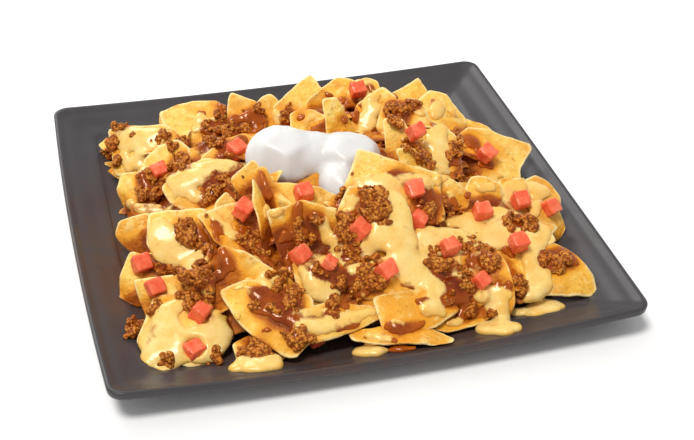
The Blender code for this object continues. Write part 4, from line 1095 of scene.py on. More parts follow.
# kind, amount, path of x, y, z, radius
STROKES = [
    ("c", 1, ((-112, 86, 32, 4.9), (-100, 81, 34, 4.9), (-89, 75, 35, 4.9),)),
    ("c", 1, ((-108, 77, 28, 5.5), (-100, 74, 31, 5.5), (-94, 70, 30, 4.3),)),
    ("c", 1, ((-112, 73, 24, 3.7), (-110, 64, 19, 3.7),)),
    ("c", 1, ((-100, 70, 27, 4.3), (-103, 63, 21, 3.7),)),
    ("c", 0.9, ((-59, 94, 32, 4.3), (-63, 86, 28, 3.7),)),
    ("c", 1.2, ((-115, 21, 20, 3.7), (-109, 11, 23, 4.3), (-101, 7, 23, 3.7),)),
    ("c", 1.1, ((-76, 10, 49, 3.1), (-64, 7, 51, 3.1), (-53, 4, 50, 2.5),)),
    ("c", 1.1, ((-89, 3, 44, 4.9), (-81, 1, 45, 6.1), (-73, -1, 47, 4.3),)),
    ("c", 1.1, ((-89, -4, 40, 3.7), (-91, -8, 37, 2.5),)),
    ("c", 1, ((-82, -6, 41, 5.5), (-78, -11, 38, 3.7),)),
    ("c", 1, ((-78, 39, 41, 1.8), (-71, 29, 46, 1.8),)),
    ("c", 1, ((-56, 14, 51, 2.5), (-45, 27, 47, 3.1), (-42, 17, 50, 2.5),)),
    ("c", 1.2, ((-106, -37, 42, 4.9), (-108, -44, 37, 4.9), (-107, -50, 31, 4.9),)),
    ("c", 1.2, ((-100, -43, 41, 4.9), (-100, -50, 35, 5.5), (-99, -54, 30, 5.5),)),
    ("c", 1.1, ((-92, -54, 33, 4.9), (-87, -59, 33, 4.9),)),
    ("c", 1, ((-92, -59, 30, 4.3), (-85, -71, 37, 3.7),)),
    ("c", 1, ((-75, -43, 48, 3.7), (-71, -48, 44, 4.3), (-67, -56, 41, 4.3),)),
    ("c", 1.1, ((-87, -87, 29, 3.7), (-85, -89, 26, 3.1),)),
    ("c", 1, ((-107, -75, 27, 3.1), (-103, -80, 24, 3.7),)),
    ("c", 1.2, ((-111, -88, 23, 4.9), (-104, -90, 24, 4.9),)),
    ("c", 1.3, ((-111, -98, 19, 6.1), (-111, -107, 15, 7.4), (-118, -111, 11, 6.1),)),
    ("c", 1.3, ((-101, -110, 15, 7.4), (-94, -113, 13, 6.7), (-87, -114, 12, 5.5),)),
    ("c", 1.2, ((-122, -111, 10, 4.3), (-119, -113, 6, 3.7),)),
    ("c", 1.2, ((-93, -107, 17, 4.9), (-84, -106, 16, 4.9),)),
    ("c", 1.1, ((-86, -99, 19, 4.3), (-78, -96, 19, 4.3), (-76, -109, 25, 3.7),)),
    ("c", 1.3, ((-122, -98, 15, 3.7), (-126, -103, 12, 3.1), (-123, -108, 11, 3.1),)),
    ("c", 1.4, ((-79, -132, 11, 3.1), (-73, -134, 11, 3.1), (-66, -135, 11, 3.1), (-58, -133, 12, 2.5),)),
    ("c", 0.8, ((-18, -72, 54, 3.1), (-18, -77, 44, 3.1), (-23, -89, 42, 3.1),)),
    ("c", 1, ((-36, -92, 37, 2.5), (-30, -92, 40, 2.5), (-22, -92, 41, 1.8),)),
    ("c", 1, ((-33, -99, 33, 3.1), (-29, -103, 30, 4.3), (-23, -106, 27, 3.7),)),
    ("c", 0.9, ((-56, -87, 36, 3.7), (-55, -96, 34, 3.7),)),
    ("c", 1.1, ((-45, -123, 24, 2.5), (-36, -124, 23, 3.1), (-24, -123, 23, 3.7), (-13, -121, 24, 4.3), (-3, -121, 23, 3.7),)),
    ("c", 0.8, ((-48, -117, 27, 1.8), (-37, -116, 26, 2.5), (-28, -115, 26, 2.5),)),
    ("c", 1.3, ((-5, -108, 28, 3.1), (-5, -109, 27, 2.5),)),
    ("c", 1, ((-73, -94, 33, 2.5), (-66, -93, 34, 1.8),)),
    ("c", 1, ((-65, -98, 32, 3.1), (-63, -100, 32, 3.1),)),
    ("c", 1.4, ((-11, -135, 9, 2.5), (-6, -134, 9, 2.5), (-5, -139, 10, 1.8),)),
    ("cfree", 1, ((-8, -133, 19, 2.5), (-7, -133, 9, 2.1),)),
    ("c", 1, ((-5, -135, 17, 2.5), (2, -137, 17, 2.5),)),
    ("c", 1, ((8, -48, 61, 3.7), (-1, -67, 62, 4.3), (-4, -71, 57, 3.7),)),
    ("c", 1, ((17, -52, 60, 3.1), (27, -53, 61, 3.7), (33, -53, 61, 3.7), (47, -54, 60, 3.1),)),
    ("c", 1, ((22, -69, 63, 4.3), (25, -73, 60, 3.7),)),
    ("c", 1, ((24, -77, 56, 4.9), (29, -79, 55, 4.3), (25, -82, 51, 4.3),)),
    ("c", 1.1, ((9, -82, 50, 4.9), (18, -84, 49, 5.5), (25, -88, 46, 4.9),)),
    ("c", 1.1, ((9, -87, 45, 4.3), (19, -89, 43, 4.9), (27, -91, 41, 4.3),)),
    ("c", 1.1, ((37, -81, 41, 4.9), (46, -82, 40, 5.5), (57, -82, 39, 4.9), (67, -75, 34, 4.9),)),
    ("c", 1.1, ((40, -87, 37, 4.3), (51, -87, 37, 3.7),)),
    ("c", 0.8, ((55, -56, 56, 2.5), (64, -58, 49, 2.5),)),
    ("c", 1, ((66, -68, 37, 3.1), (71, -72, 36, 3.1),)),
    ("c", 1.2, ((74, -76, 34, 4.3), (85, -79, 32, 4.9), (97, -81, 31, 4.9), (108, -86, 27, 4.3),)),
    ("c", 1.1, ((84, -75, 34, 3.7), (88, -71, 35, 3.1),)),
    ("c", 1.1, ((112, -82, 29, 3.7), (116, -77, 30, 3.1),)),
    ("c", 1.1, ((103, -36, 33, 3.7), (101, -45, 28, 3.7), (87, -67, 37, 3.7),)),
    ("c", 1, ((111, -33, 33, 3.7), (113, -38, 31, 2.5),)),
    ("c", 1, ((85, -44, 42, 3.7), (92, -43, 42, 3.7),)),
    ("c", 1, ((123, -29, 28, 3.1), (129, -31, 26, 3.1), (135, -33, 22, 2.5),)),
    ("c", 1, ((118, -44, 25, 3.7), (117, -55, 24, 3.7), (107, -75, 32, 3.1),)),
    ("c", 1.3, ((99, -90, 26, 4.9), (96, -100, 23, 5.5), (96, -110, 20, 6.1), (97, -116, 17, 5.5),)),
    ("c", 1.2, ((103, -108, 21, 4.3), (102, -113, 18, 3.7),)),
    ("c", 1.6, ((88, -111, 4, 4.9), (94, -117, 6, 5.5), (102, -116, 5, 4.3),)),
    ("cfree", 1, ((96, -117, 18, 4.3), (99, -110, 5, 4.3),)),
    ("c", 1.3, ((60, -118, 21, 4.3), (69, -117, 20, 4.9), (75, -120, 20, 3.7),)),
    ("c", 1.2, ((66, -120, 15, 4.3), (73, -122, 15, 3.7),)),
    ("cfree", 1, ((72, -123, 16, 3.1), (72, -126, 8, 2.8), (67, -136, 11, 3.1),)),
    ("c", 1.5, ((64, -130, 9, 2.5), (66, -135, 10, 3.1), (72, -135, 10, 2.5),)),
    ("c", 1.2, ((38, -127, 14, 3.1), (43, -127, 13, 3.1), (46, -128, 13, 2.5),)),
    ("c", 1.2, ((20, -95, 40, 3.7), (30, -91, 37, 3.1), (39, -90, 35, 2.5),)),
    ("c", 1.2, ((17, -100, 35, 4.9), (25, -101, 34, 4.9), (33, -99, 36, 4.3),)),
    ("c", 1.2, ((20, -105, 31, 3.7), (28, -107, 29, 4.3), (35, -111, 28, 4.3),)),
    ("c", 1.2, ((31, -118, 27, 3.1), (33, -122, 24, 3.1),)),
    ("c", 1.2, ((-8, -98, 35, 3.1), (-4, -95, 37, 2.5),)),
    ("c", 1, ((26, -124, 24, 4.9), (34, -126, 21, 3.7),)),
    ("c", 1, ((8, -129, 21, 3.7), (10, -131, 20, 3.7),)),
    ("c", 1.1, ((72, 40, 48, 3.1), (78, 38, 46, 3.1), (95, 62, 36, 4.3), (94, 69, 38, 3.1),)),
    ("c", 1, ((102, 61, 34, 3.1), (106, 58, 30, 2.5),)),
    ("c", 1, ((51, 60, 53, 3.1), (44, 58, 50, 3.7), (45, 51, 46, 3.7), (51, 52, 48, 3.1),)),
    ("c", 1, ((40, 50, 43, 3.7), (37, 44, 38, 3.7), (42, 45, 40, 3.1),)),
    ("c", 1, ((43, 93, 44, 2.5), (50, 92, 45, 3.1), (55, 87, 44, 2.5),)),
    ("c", 1, ((44, 79, 41, 1.8), (47, 80, 41, 1.8),)),
    ("c", 1, ((66, 5, 55, 3.1), (75, 4, 54, 3.7),)),
    ("c", 1.1, ((65, -3, 51, 4.3), (72, -4, 50, 4.3), (75, -6, 48, 3.7),)),
    ("c", 1.1, ((65, -12, 45, 4.9), (72, -13, 44, 4.3),)),
    ("c", 1.1, ((62, -27, 46, 4.3), (71, -20, 41, 3.7),)),
    ("c", 1, ((115, 58, 24, 1.8), (123, 56, 21, 1.8),)),
    ("c", 1, ((107, -3, 23, 1.8), (117, -5, 21, 1.8),)),
    ("c", 1, ((15, 90, 43, 1.8), (10, 86, 40, 1.8),)),
    ("c", 1, ((-11, 82, 36, 2.5), (-11, 77, 32, 2.5),)),
    ("c", 0.8, ((45, 2, 59, 2.5), (54, 3, 60, 2.5),)),
    ("c", 1, ((49, -2, 56, 2.5), (51, -1, 56, 2.5),)),
    ("g", 0.9, ((-57, 85, 28, 3.7), (-48, 81, 27, 5.5), (-41, 73, 30, 4.9),)),
    ("g", 0.9, ((-62, 33, 49, 4.3), (-54, 30, 48, 4.3),)),
    ("g", 0.8, ((-65, 78, 24, 3.1), (-66, 33, 48, 3.1),)),
    ("g", 0.8, ((-78, 35, 39, 3.1), (-84, 28, 37, 3.7), (-92, 7, 44, 3.7),)),
    ("g", 0.8, ((-103, 24, 27, 3.7), (-100, 20, 24, 3.7),)),
    ("g", 0.7, ((-96, -1, 40, 2.5), (-95, -2, 39, 2.5),)),
    ("g", 0.9, ((-66, -2, 46, 4.3), (-69, -8, 42, 4.9), (-75, -13, 37, 3.7),)),
    ("g", 0.8, ((-62, -9, 43, 3.1), (-59, -19, 44, 2.5),)),
    ("g", 0.8, ((-92, -47, 40, 4.3), (-95, -49, 37, 3.1),)),
    ("g", 0.9, ((-84, -49, 40, 3.7), (-81, -57, 38, 4.9), (-80, -69, 39, 3.7),)),
    ("g", 0.8, ((-80, -77, 38, 2.5), (-79, -79, 37, 1.8),)),
    ("g", 0.8, ((-104, -57, 25, 3.1), (-100, -77, 35, 3.1), (-92, -80, 35, 4.3), (-87, -82, 34, 4.3),)),
    ("g", 0.8, ((-88, -84, 31, 3.1), (-82, -82, 33, 2.5),)),
    ("g", 0.9, ((-59, -50, 42, 3.1), (-57, -57, 39, 4.3), (-55, -69, 38, 4.3), (-52, -73, 35, 2.5),)),
    ("g", 0.8, ((-30, -65, 64, 3.7), (-32, -67, 59, 3.7), (-31, -71, 53, 3.7), (-30, -74, 46, 3.7), (-27, -76, 43, 3.1),)),
    ("g", 0.8, ((-24, -70, 57, 3.1), (-23, -71, 54, 2.5),)),
    ("g", 0.9, ((-40, -81, 36, 3.7), (-40, -85, 33, 3.1),)),
    ("g", 1, ((-29, -96, 37, 4.3), (-22, -97, 36, 4.9), (-17, -101, 33, 4.3),)),
    ("g", 0.9, ((-15, -103, 30, 3.1), (-15, -104, 29, 2.5),)),
    ("g", 0.8, ((-46, -32, 66, 3.1), (-44, -40, 61, 2.5), (-41, -46, 56, 2.5),)),
    ("g", 0.9, ((-6, -74, 54, 3.7), (-0, -74, 55, 3.1), (3, -76, 55, 2.5),)),
    ("g", 0.8, ((-7, -79, 49, 3.7), (-6, -83, 43, 4.3), (-5, -87, 37, 4.3),)),
    ("g", 0.8, ((9, -67, 64, 4.3), (14, -71, 61, 5.5), (14, -76, 56, 5.5), (9, -74, 57, 4.9),)),
    ("g", 0.8, ((1, -61, 67, 2.5), (4, -62, 66, 2.5),)),
    ("g", 0.9, ((44, -63, 53, 3.7), (53, -63, 51, 4.9), (63, -62, 45, 3.7),)),
    ("g", 0.8, ((42, -69, 48, 4.3), (44, -73, 45, 3.7),)),
    ("g", 0.8, ((58, -63, 38, 4.3), (64, -60, 39, 3.1),)),
    ("g", 1, ((58, 49, 51, 4.3), (63, 45, 50, 4.9), (59, 40, 47, 4.3),)),
    ("g", 0.7, ((72, 44, 49, 2.5), (75, 43, 49, 1.8),)),
    ("g", 0.6, ((91, 69, 39, 1.5), (87, 62, 38, 1.8),)),
    ("g", 0.6, ((103, 60, 32, 1.8), (104, 58, 31, 1.5),)),
    ("g", 0.7, ((95, 52, 31, 1.8), (102, 50, 28, 1.8),)),
    ("g", 0.9, ((102, 44, 25, 3.1), (99, 18, 35, 4.9), (104, 13, 32, 4.3), (109, 7, 28, 3.1),)),
    ("g", 0.8, ((82, -5, 47, 3.7), (90, 2, 37, 2.5),)),
    ("g", 0.7, ((106, 24, 36, 1.8), (105, 19, 34, 1.8),)),
    ("g", 0.7, ((118, 15, 31, 2.5), (116, 10, 29, 1.8),)),
    ("g", 0.8, ((79, -21, 39, 2.5), (93, -3, 25, 2.5), (97, -8, 26, 1.8),)),
    ("g", 0.8, ((80, -25, 34, 3.1), (81, -27, 33, 2.5),)),
    ("g", 0.8, ((81, -51, 36, 3.1), (89, -50, 37, 2.5),)),
    ("g", 0.8, ((80, -61, 39, 3.1), (84, -62, 39, 2.5),)),
    ("g", 0.9, ((108, -41, 29, 3.7), (113, -39, 30, 2.5),)),
    ("g", 0.8, ((91, -75, 34, 3.1), (92, -77, 33, 2.5),)),
    ("g", 0.8, ((100, -72, 34, 1.8), (107, -71, 33, 1.8),)),
    ("g", 0.8, ((104, -79, 31, 2.5), (101, -80, 31, 1.8),)),
    ("g", 0.9, ((85, -114, 23, 3.1), (86, -117, 17, 3.1),)),
    ("g", 0.9, ((107, -96, 24, 3.1), (115, -96, 23, 4.3), (121, -97, 22, 3.1),)),
    ("g", 0.8, ((108, -102, 22, 3.7), (115, -102, 21, 3.7),)),
    ("g", 0.5, ((108, -113, 18, 1.8), (115, -116, 16, 1.8),)),
    ("g", 0.8, ((39, -98, 36, 3.7), (41, -103, 32, 3.7),)),
    ("g", 0.8, ((48, -101, 31, 3.7), (53, -104, 30, 2.5),)),
    ("g", 0.9, ((71, -87, 30, 2.5), (71, -97, 33, 3.7), (71, -105, 32, 3.7),)),
    ("g", 1, ((45, -110, 28, 4.9), (43, -116, 23, 4.9), (39, -121, 23, 3.1),)),
    ("g", 0.9, ((49, -120, 19, 3.1), (53, -122, 17, 3.7), (48, -123, 14, 3.1), (56, -123, 14, 2.5),)),
    ("g", 0.8, ((66, -124, 13, 2.5), (67, -123, 9, 2.5),)),
    ("g", 0.8, ((-4, -102, 34, 3.7), (2, -104, 32, 3.7), (9, -105, 31, 3.1),)),
    ("g", 0.7, ((19, -107, 29, 1.8), (23, -110, 28, 1.8),)),
    ("g", 1, ((-50, -103, 31, 5.5), (-49, -112, 29, 6.1), (-54, -115, 27, 4.3),)),
    ("g", 0.9, ((-43, -107, 31, 4.9), (-44, -102, 32, 3.7),)),
    ("g", 0.9, ((-65, -108, 29, 3.1), (-60, -111, 28, 3.1),)),
    ("g", 1, ((-18, -113, 27, 3.7), (-12, -108, 25, 4.3), (-8, -109, 26, 3.1),)),
    ("g", 0.8, ((-23, -115, 27, 3.1), (-24, -117, 26, 2.5),)),
    ("g", 0.7, ((-54, -117, 26, 2.1), (-43, -120, 25, 1.8), (-32, -121, 24, 1.8), (-26, -119, 25, 1.5),)),
    ("g", 0.6, ((-64, -121, 22, 2.5), (-57, -121, 24, 2.5),)),
    ("g", 0.7, ((-49, -127, 21, 3.1), (-46, -129, 20, 3.1),)),
    ("g", 0.9, ((-98, -91, 24, 3.1), (-91, -91, 23, 4.3), (-90, -98, 21, 3.1),)),
    ("g", 0.8, ((-129, -86, 9, 3.7), (-127, -86, 8, 3.7),)),
    ("g", 0.7, ((-118, -98, 16, 3.1), (-122, -105, 12, 2.5),)),
    ("g", 0.7, ((-117, -95, 17, 2.5), (-119, -102, 15, 1.8),)),
    ("g", 0.8, ((-116, -115, 6, 3.1), (-113, -115, 5, 2.5),)),
    ("g", 0.8, ((-89, -120, 9, 2.5), (-89, -121, 6, 2.5),)),
    ("g", 0.9, ((-67, -122, 15, 3.7), (-66, -129, 13, 4.3), (-72, -128, 13, 3.1),)),
    ("g", 0.8, ((-63, -132, 13, 3.1), (-63, -134, 12, 2.5),)),
    ("g", 0.8, ((-23, -118, 5, 3.1), (-15, -121, 6, 3.1), (-12, -133, 18, 2.5),)),
    ("g", 0.8, ((6, -140, 17, 3.7), (11, -137, 9, 3.1),)),
    ("g", 1, ((34, 83, 39, 3.1), (35, 68, 41, 4.3), (33, 51, 42, 3.1),)),
    ("g", 0.8, ((24, 66, 52, 2.5), (19, 69, 54, 3.1),)),
    ("g", 0.6, ((54, 86, 44, 2.5), (56, 84, 43, 1.8),)),
    ("g", 0.8, ((-22, 83, 40, 2.5), (-23, 81, 39, 1.8),)),
    ("g", 0.8, ((-5, 80, 37, 3.1), (-6, 76, 32, 2.5),)),
    ("g", 0.8, ((-44, 100, 37, 2.5), (-44, 93, 34, 2.5),)),
    ("g", 0.5, ((-96, 84, 36, 1.2), (-88, 81, 38, 1.5),)),
    ("g", 0.8, ((-111, 88, 34, 3.1), (-109, 88, 34, 3.1),)),
    ("g", 0.5, ((64, 53, 52, 0.9), (86, 67, 40, 0.9),)),
    ("g", 0.7, ((45, 42, 38, 3.1), (39, 17, 43, 2.5),)),
    ("c", 0.9, ((15, -52, 60, 8.6), (31, -56, 58, 8.6), (46, -56, 58, 4.9),)),
    ("c", 0.9, ((23, -74, 59, 8.6), (26, -83, 51, 9.8), (11, -85, 47, 7.4),)),
    ("c", 0.9, ((41, -83, 40, 9.8), (60, -84, 37, 8.6), (84, -82, 31, 7.4), (102, -84, 29, 6.1),)),
    ("c", 0.8, ((52, -69, 38, 3.7), (71, -66, 37, 4.9), (89, -66, 37, 6.1),)),
    ("c", 0.9, ((104, -37, 32, 6.1), (130, -30, 26, 5.5), (123, -47, 26, 4.9),)),
    ("c", 0.8, ((112, -75, 32, 5.5), (106, -83, 29, 6.1),)),
    ("c", 0.9, ((-111, 82, 30, 7.4), (-99, 75, 32, 8.6), (-90, 72, 33, 6.1),)),
    ("c", 0.8, ((-103, 66, 23, 6.1), (-100, 37, 33, 4.3),)),
    ("c", 1, ((-105, -38, 43, 7.4), (-105, -47, 35, 8.0), (-97, -54, 31, 6.1),)),
    ("c", 1, ((-112, -92, 21, 7.4), (-112, -107, 15, 9.2), (-94, -113, 14, 8.6), (-82, -109, 14, 5.5),)),
    ("c", 0.8, ((-105, -117, 11, 4.9), (-90, -119, 10, 3.1),)),
    ("c", 0.9, ((91, 60, 36, 5.5), (75, 5, 55, 5.5), (70, -10, 47, 6.1), (56, -52, 59, 4.9),)),
    ("c", 0.9, ((-87, 2, 44, 7.4), (-71, 2, 48, 6.1), (-53, 2, 49, 4.3),)),
    ("c", 0.9, ((22, -98, 37, 7.4), (29, -104, 32, 6.1), (38, -114, 26, 4.3),)),
    ("c", 0.8, ((18, -92, 42, 4.9), (46, -88, 36, 4.9), (61, -87, 35, 4.3),)),
    ("c", 0.8, ((46, 58, 51, 5.5), (44, 45, 40, 4.9),)),
    ("c", 0.7, ((-60, 93, 31, 3.7), (-43, 90, 32, 2.5),)),
    ("c", 0.8, ((-33, -102, 30, 5.5), (-23, -107, 26, 4.9),)),
    ("c", 0.9, ((-39, -125, 23, 4.3), (-16, -123, 23, 4.3),)),
    ("g", 0.8, ((-64, 104, 34, 1.8), (-55, 97, 34, 2.5),)),
    ("g", 0.7, ((-32, 78, 37, 2.5), (-27, 80, 39, 2.5),)),
    ("g", 0.8, ((-10, 19, 45, 2.5),)),
    ("g", 0.7, ((37, -44, 65, 3.1), (40, -50, 62, 2.5),)),
    ("g", 0.8, ((40, -68, 49, 3.7), (36, -66, 52, 2.5),)),
    ("g", 0.8, ((-7, -89, 36, 3.1), (1, -90, 35, 3.1), (8, -96, 38, 2.5),)),
    ("g", 0.8, ((-59, -100, 33, 3.7), (-56, -106, 31, 3.7),)),
    ("g", 0.8, ((-35, -87, 40, 2.5), (-30, -80, 37, 2.5),)),
    ("g", 0.9, ((-51, -76, 34, 3.1), (-48, -83, 33, 3.7),)),
    ("g", 0.9, ((-75, -78, 40, 2.5), (-78, -82, 34, 3.1),)),
    ("g", 0.8, ((-113, -49, 26, 2.5), (-108, -53, 25, 2.5),)),
    ("g", 0.8, ((-116, 23, 19, 2.5), (-112, 11, 22, 2.5),)),
    ("g", 0.8, ((-115, -78, 24, 2.5), (-119, -76, 20, 2.5),)),
    ("g", 0.9, ((59, -101, 32, 3.1), (63, -105, 29, 3.1),)),
    ("g", 0.8, ((73, -113, 26, 2.5), (71, -115, 23, 1.8),)),
    ("g", 0.8, ((85, -88, 28, 2.5), (88, -92, 26, 2.5),)),
    ("g", 0.8, ((23, -120, 26, 2.5), (29, -122, 25, 1.8),)),
    ("g", 0.7, ((-23, -127, 21, 2.5), (-11, -126, 20, 1.8), (3, -109, 5, 1.8),)),
    ("g", 0.8, ((4, -121, 26, 2.5), (9, -123, 25, 2.5),)),
    ("g", 0.7, ((83, -68, 37, 1.8), (83, -73, 35, 1.8),)),
    ("c", 2.4, ((-79, -132, 11, 5.5), (-71, -136, 10, 6.1), (-62, -136, 10, 5.5),)),
    ("c", 2.4, ((-13, -136, 9, 5.5), (-5, -139, 10, 5.5),)),
    ("c", 2.6, ((60, -134, 10, 6.7), (67, -139, 12, 7.4), (72, -139, 12, 5.5),)),
    ("c", 2.6, ((86, -115, 5, 7.4), (93, -121, 7, 8.6), (103, -121, 7, 6.7),)),
    ("c", 1.6, ((70, -125, 9, 4.9), (69, -132, 9, 4.9),)),
    ("c", 1.6, ((92, -120, 15, 5.5), (96, -115, 5, 5.5),)),
    ("g", 1.6, ((7, -140, 11, 5.5), (14, -142, 11, 4.9),)),
    ("c", 1.4, ((-124, -112, 8, 5.5), (-116, -117, 6, 4.9), (-109, -118, 10, 4.3),)),
    ("g", 1, ((-40, 80, 36, 4.3), (-21, 78, 36, 4.3), (-28, 67, 34, 4.9),)),
    ("g", 1, ((-66, 30, 47, 5.5), (-51, 16, 51, 5.5), (-44, 32, 49, 4.9),)),
    ("g", 0.9, ((-33, 6, 46, 3.7), (-45, -38, 61, 4.3), (-44, -45, 51, 3.7),)),
    ("g", 1, ((30, -50, 63, 4.3), (42, -59, 56, 4.9), (47, -66, 50, 4.9),)),
    ("g", 0.9, ((77, -15, 42, 3.7), (97, 4, 31, 4.9), (109, 3, 26, 4.3),)),
    ("g", 0.9, ((74, -56, 46, 4.3), (90, -52, 34, 4.3), (105, -47, 25, 4.3),)),
    ("g", 0.7, ((-40, -77, 41, 3.1), (-37, -86, 39, 3.7), (-29, -92, 40, 3.7),)),
    ("g", 0.8, ((-16, -96, 38, 3.7), (-11, -100, 33, 4.3), (-2, -107, 29, 3.7),)),
    ("c", 1.1, ((-15, -76, 46, 3.7), (-12, -82, 43, 4.3), (-15, -84, 38, 3.7),)),
    ("c", 1.1, ((1, -80, 49, 4.3), (5, -87, 43, 4.9), (2, -89, 37, 4.3),)),
    ("c", 1, ((12, -97, 38, 4.9), (3, -99, 36, 4.9), (-8, -96, 37, 4.3),)),
    ("c", 0.9, ((-34, -96, 35, 3.7), (-28, -101, 33, 4.3), (-20, -104, 29, 3.7),)),
    ("g", 0.9, ((41, -105, 30, 4.9), (50, -116, 24, 4.9), (62, -111, 23, 4.3),)),
    ("g", 1, ((-63, -99, 33, 4.3), (-58, -108, 29, 4.9), (-47, -118, 26, 4.3),)),
    ("g", 0.9, ((-75, -48, 45, 3.7), (-76, -72, 44, 3.7), (-72, -82, 38, 3.7),)),
    ("g", 0.9, ((-105, 10, 23, 3.7), (-92, 4, 27, 3.7),)),
    ("g", 0.9, ((76, -104, 35, 3.7), (84, -104, 24, 4.3), (77, -117, 25, 3.7),)),
    ("g", 0.9, ((118, -91, 24, 3.1), (124, -100, 20, 3.7),)),
    ("g", 0.8, ((2, -129, 20, 3.1), (10, -133, 18, 3.7), (24, -131, 19, 3.1),)),
    ("g", 0.8, ((45, 77, 40, 3.7), (20, 23, 59, 3.7),)),
    ("g", 0.8, ((9, 69, 46, 3.1), (-3, 47, 51, 3.1),)),
]
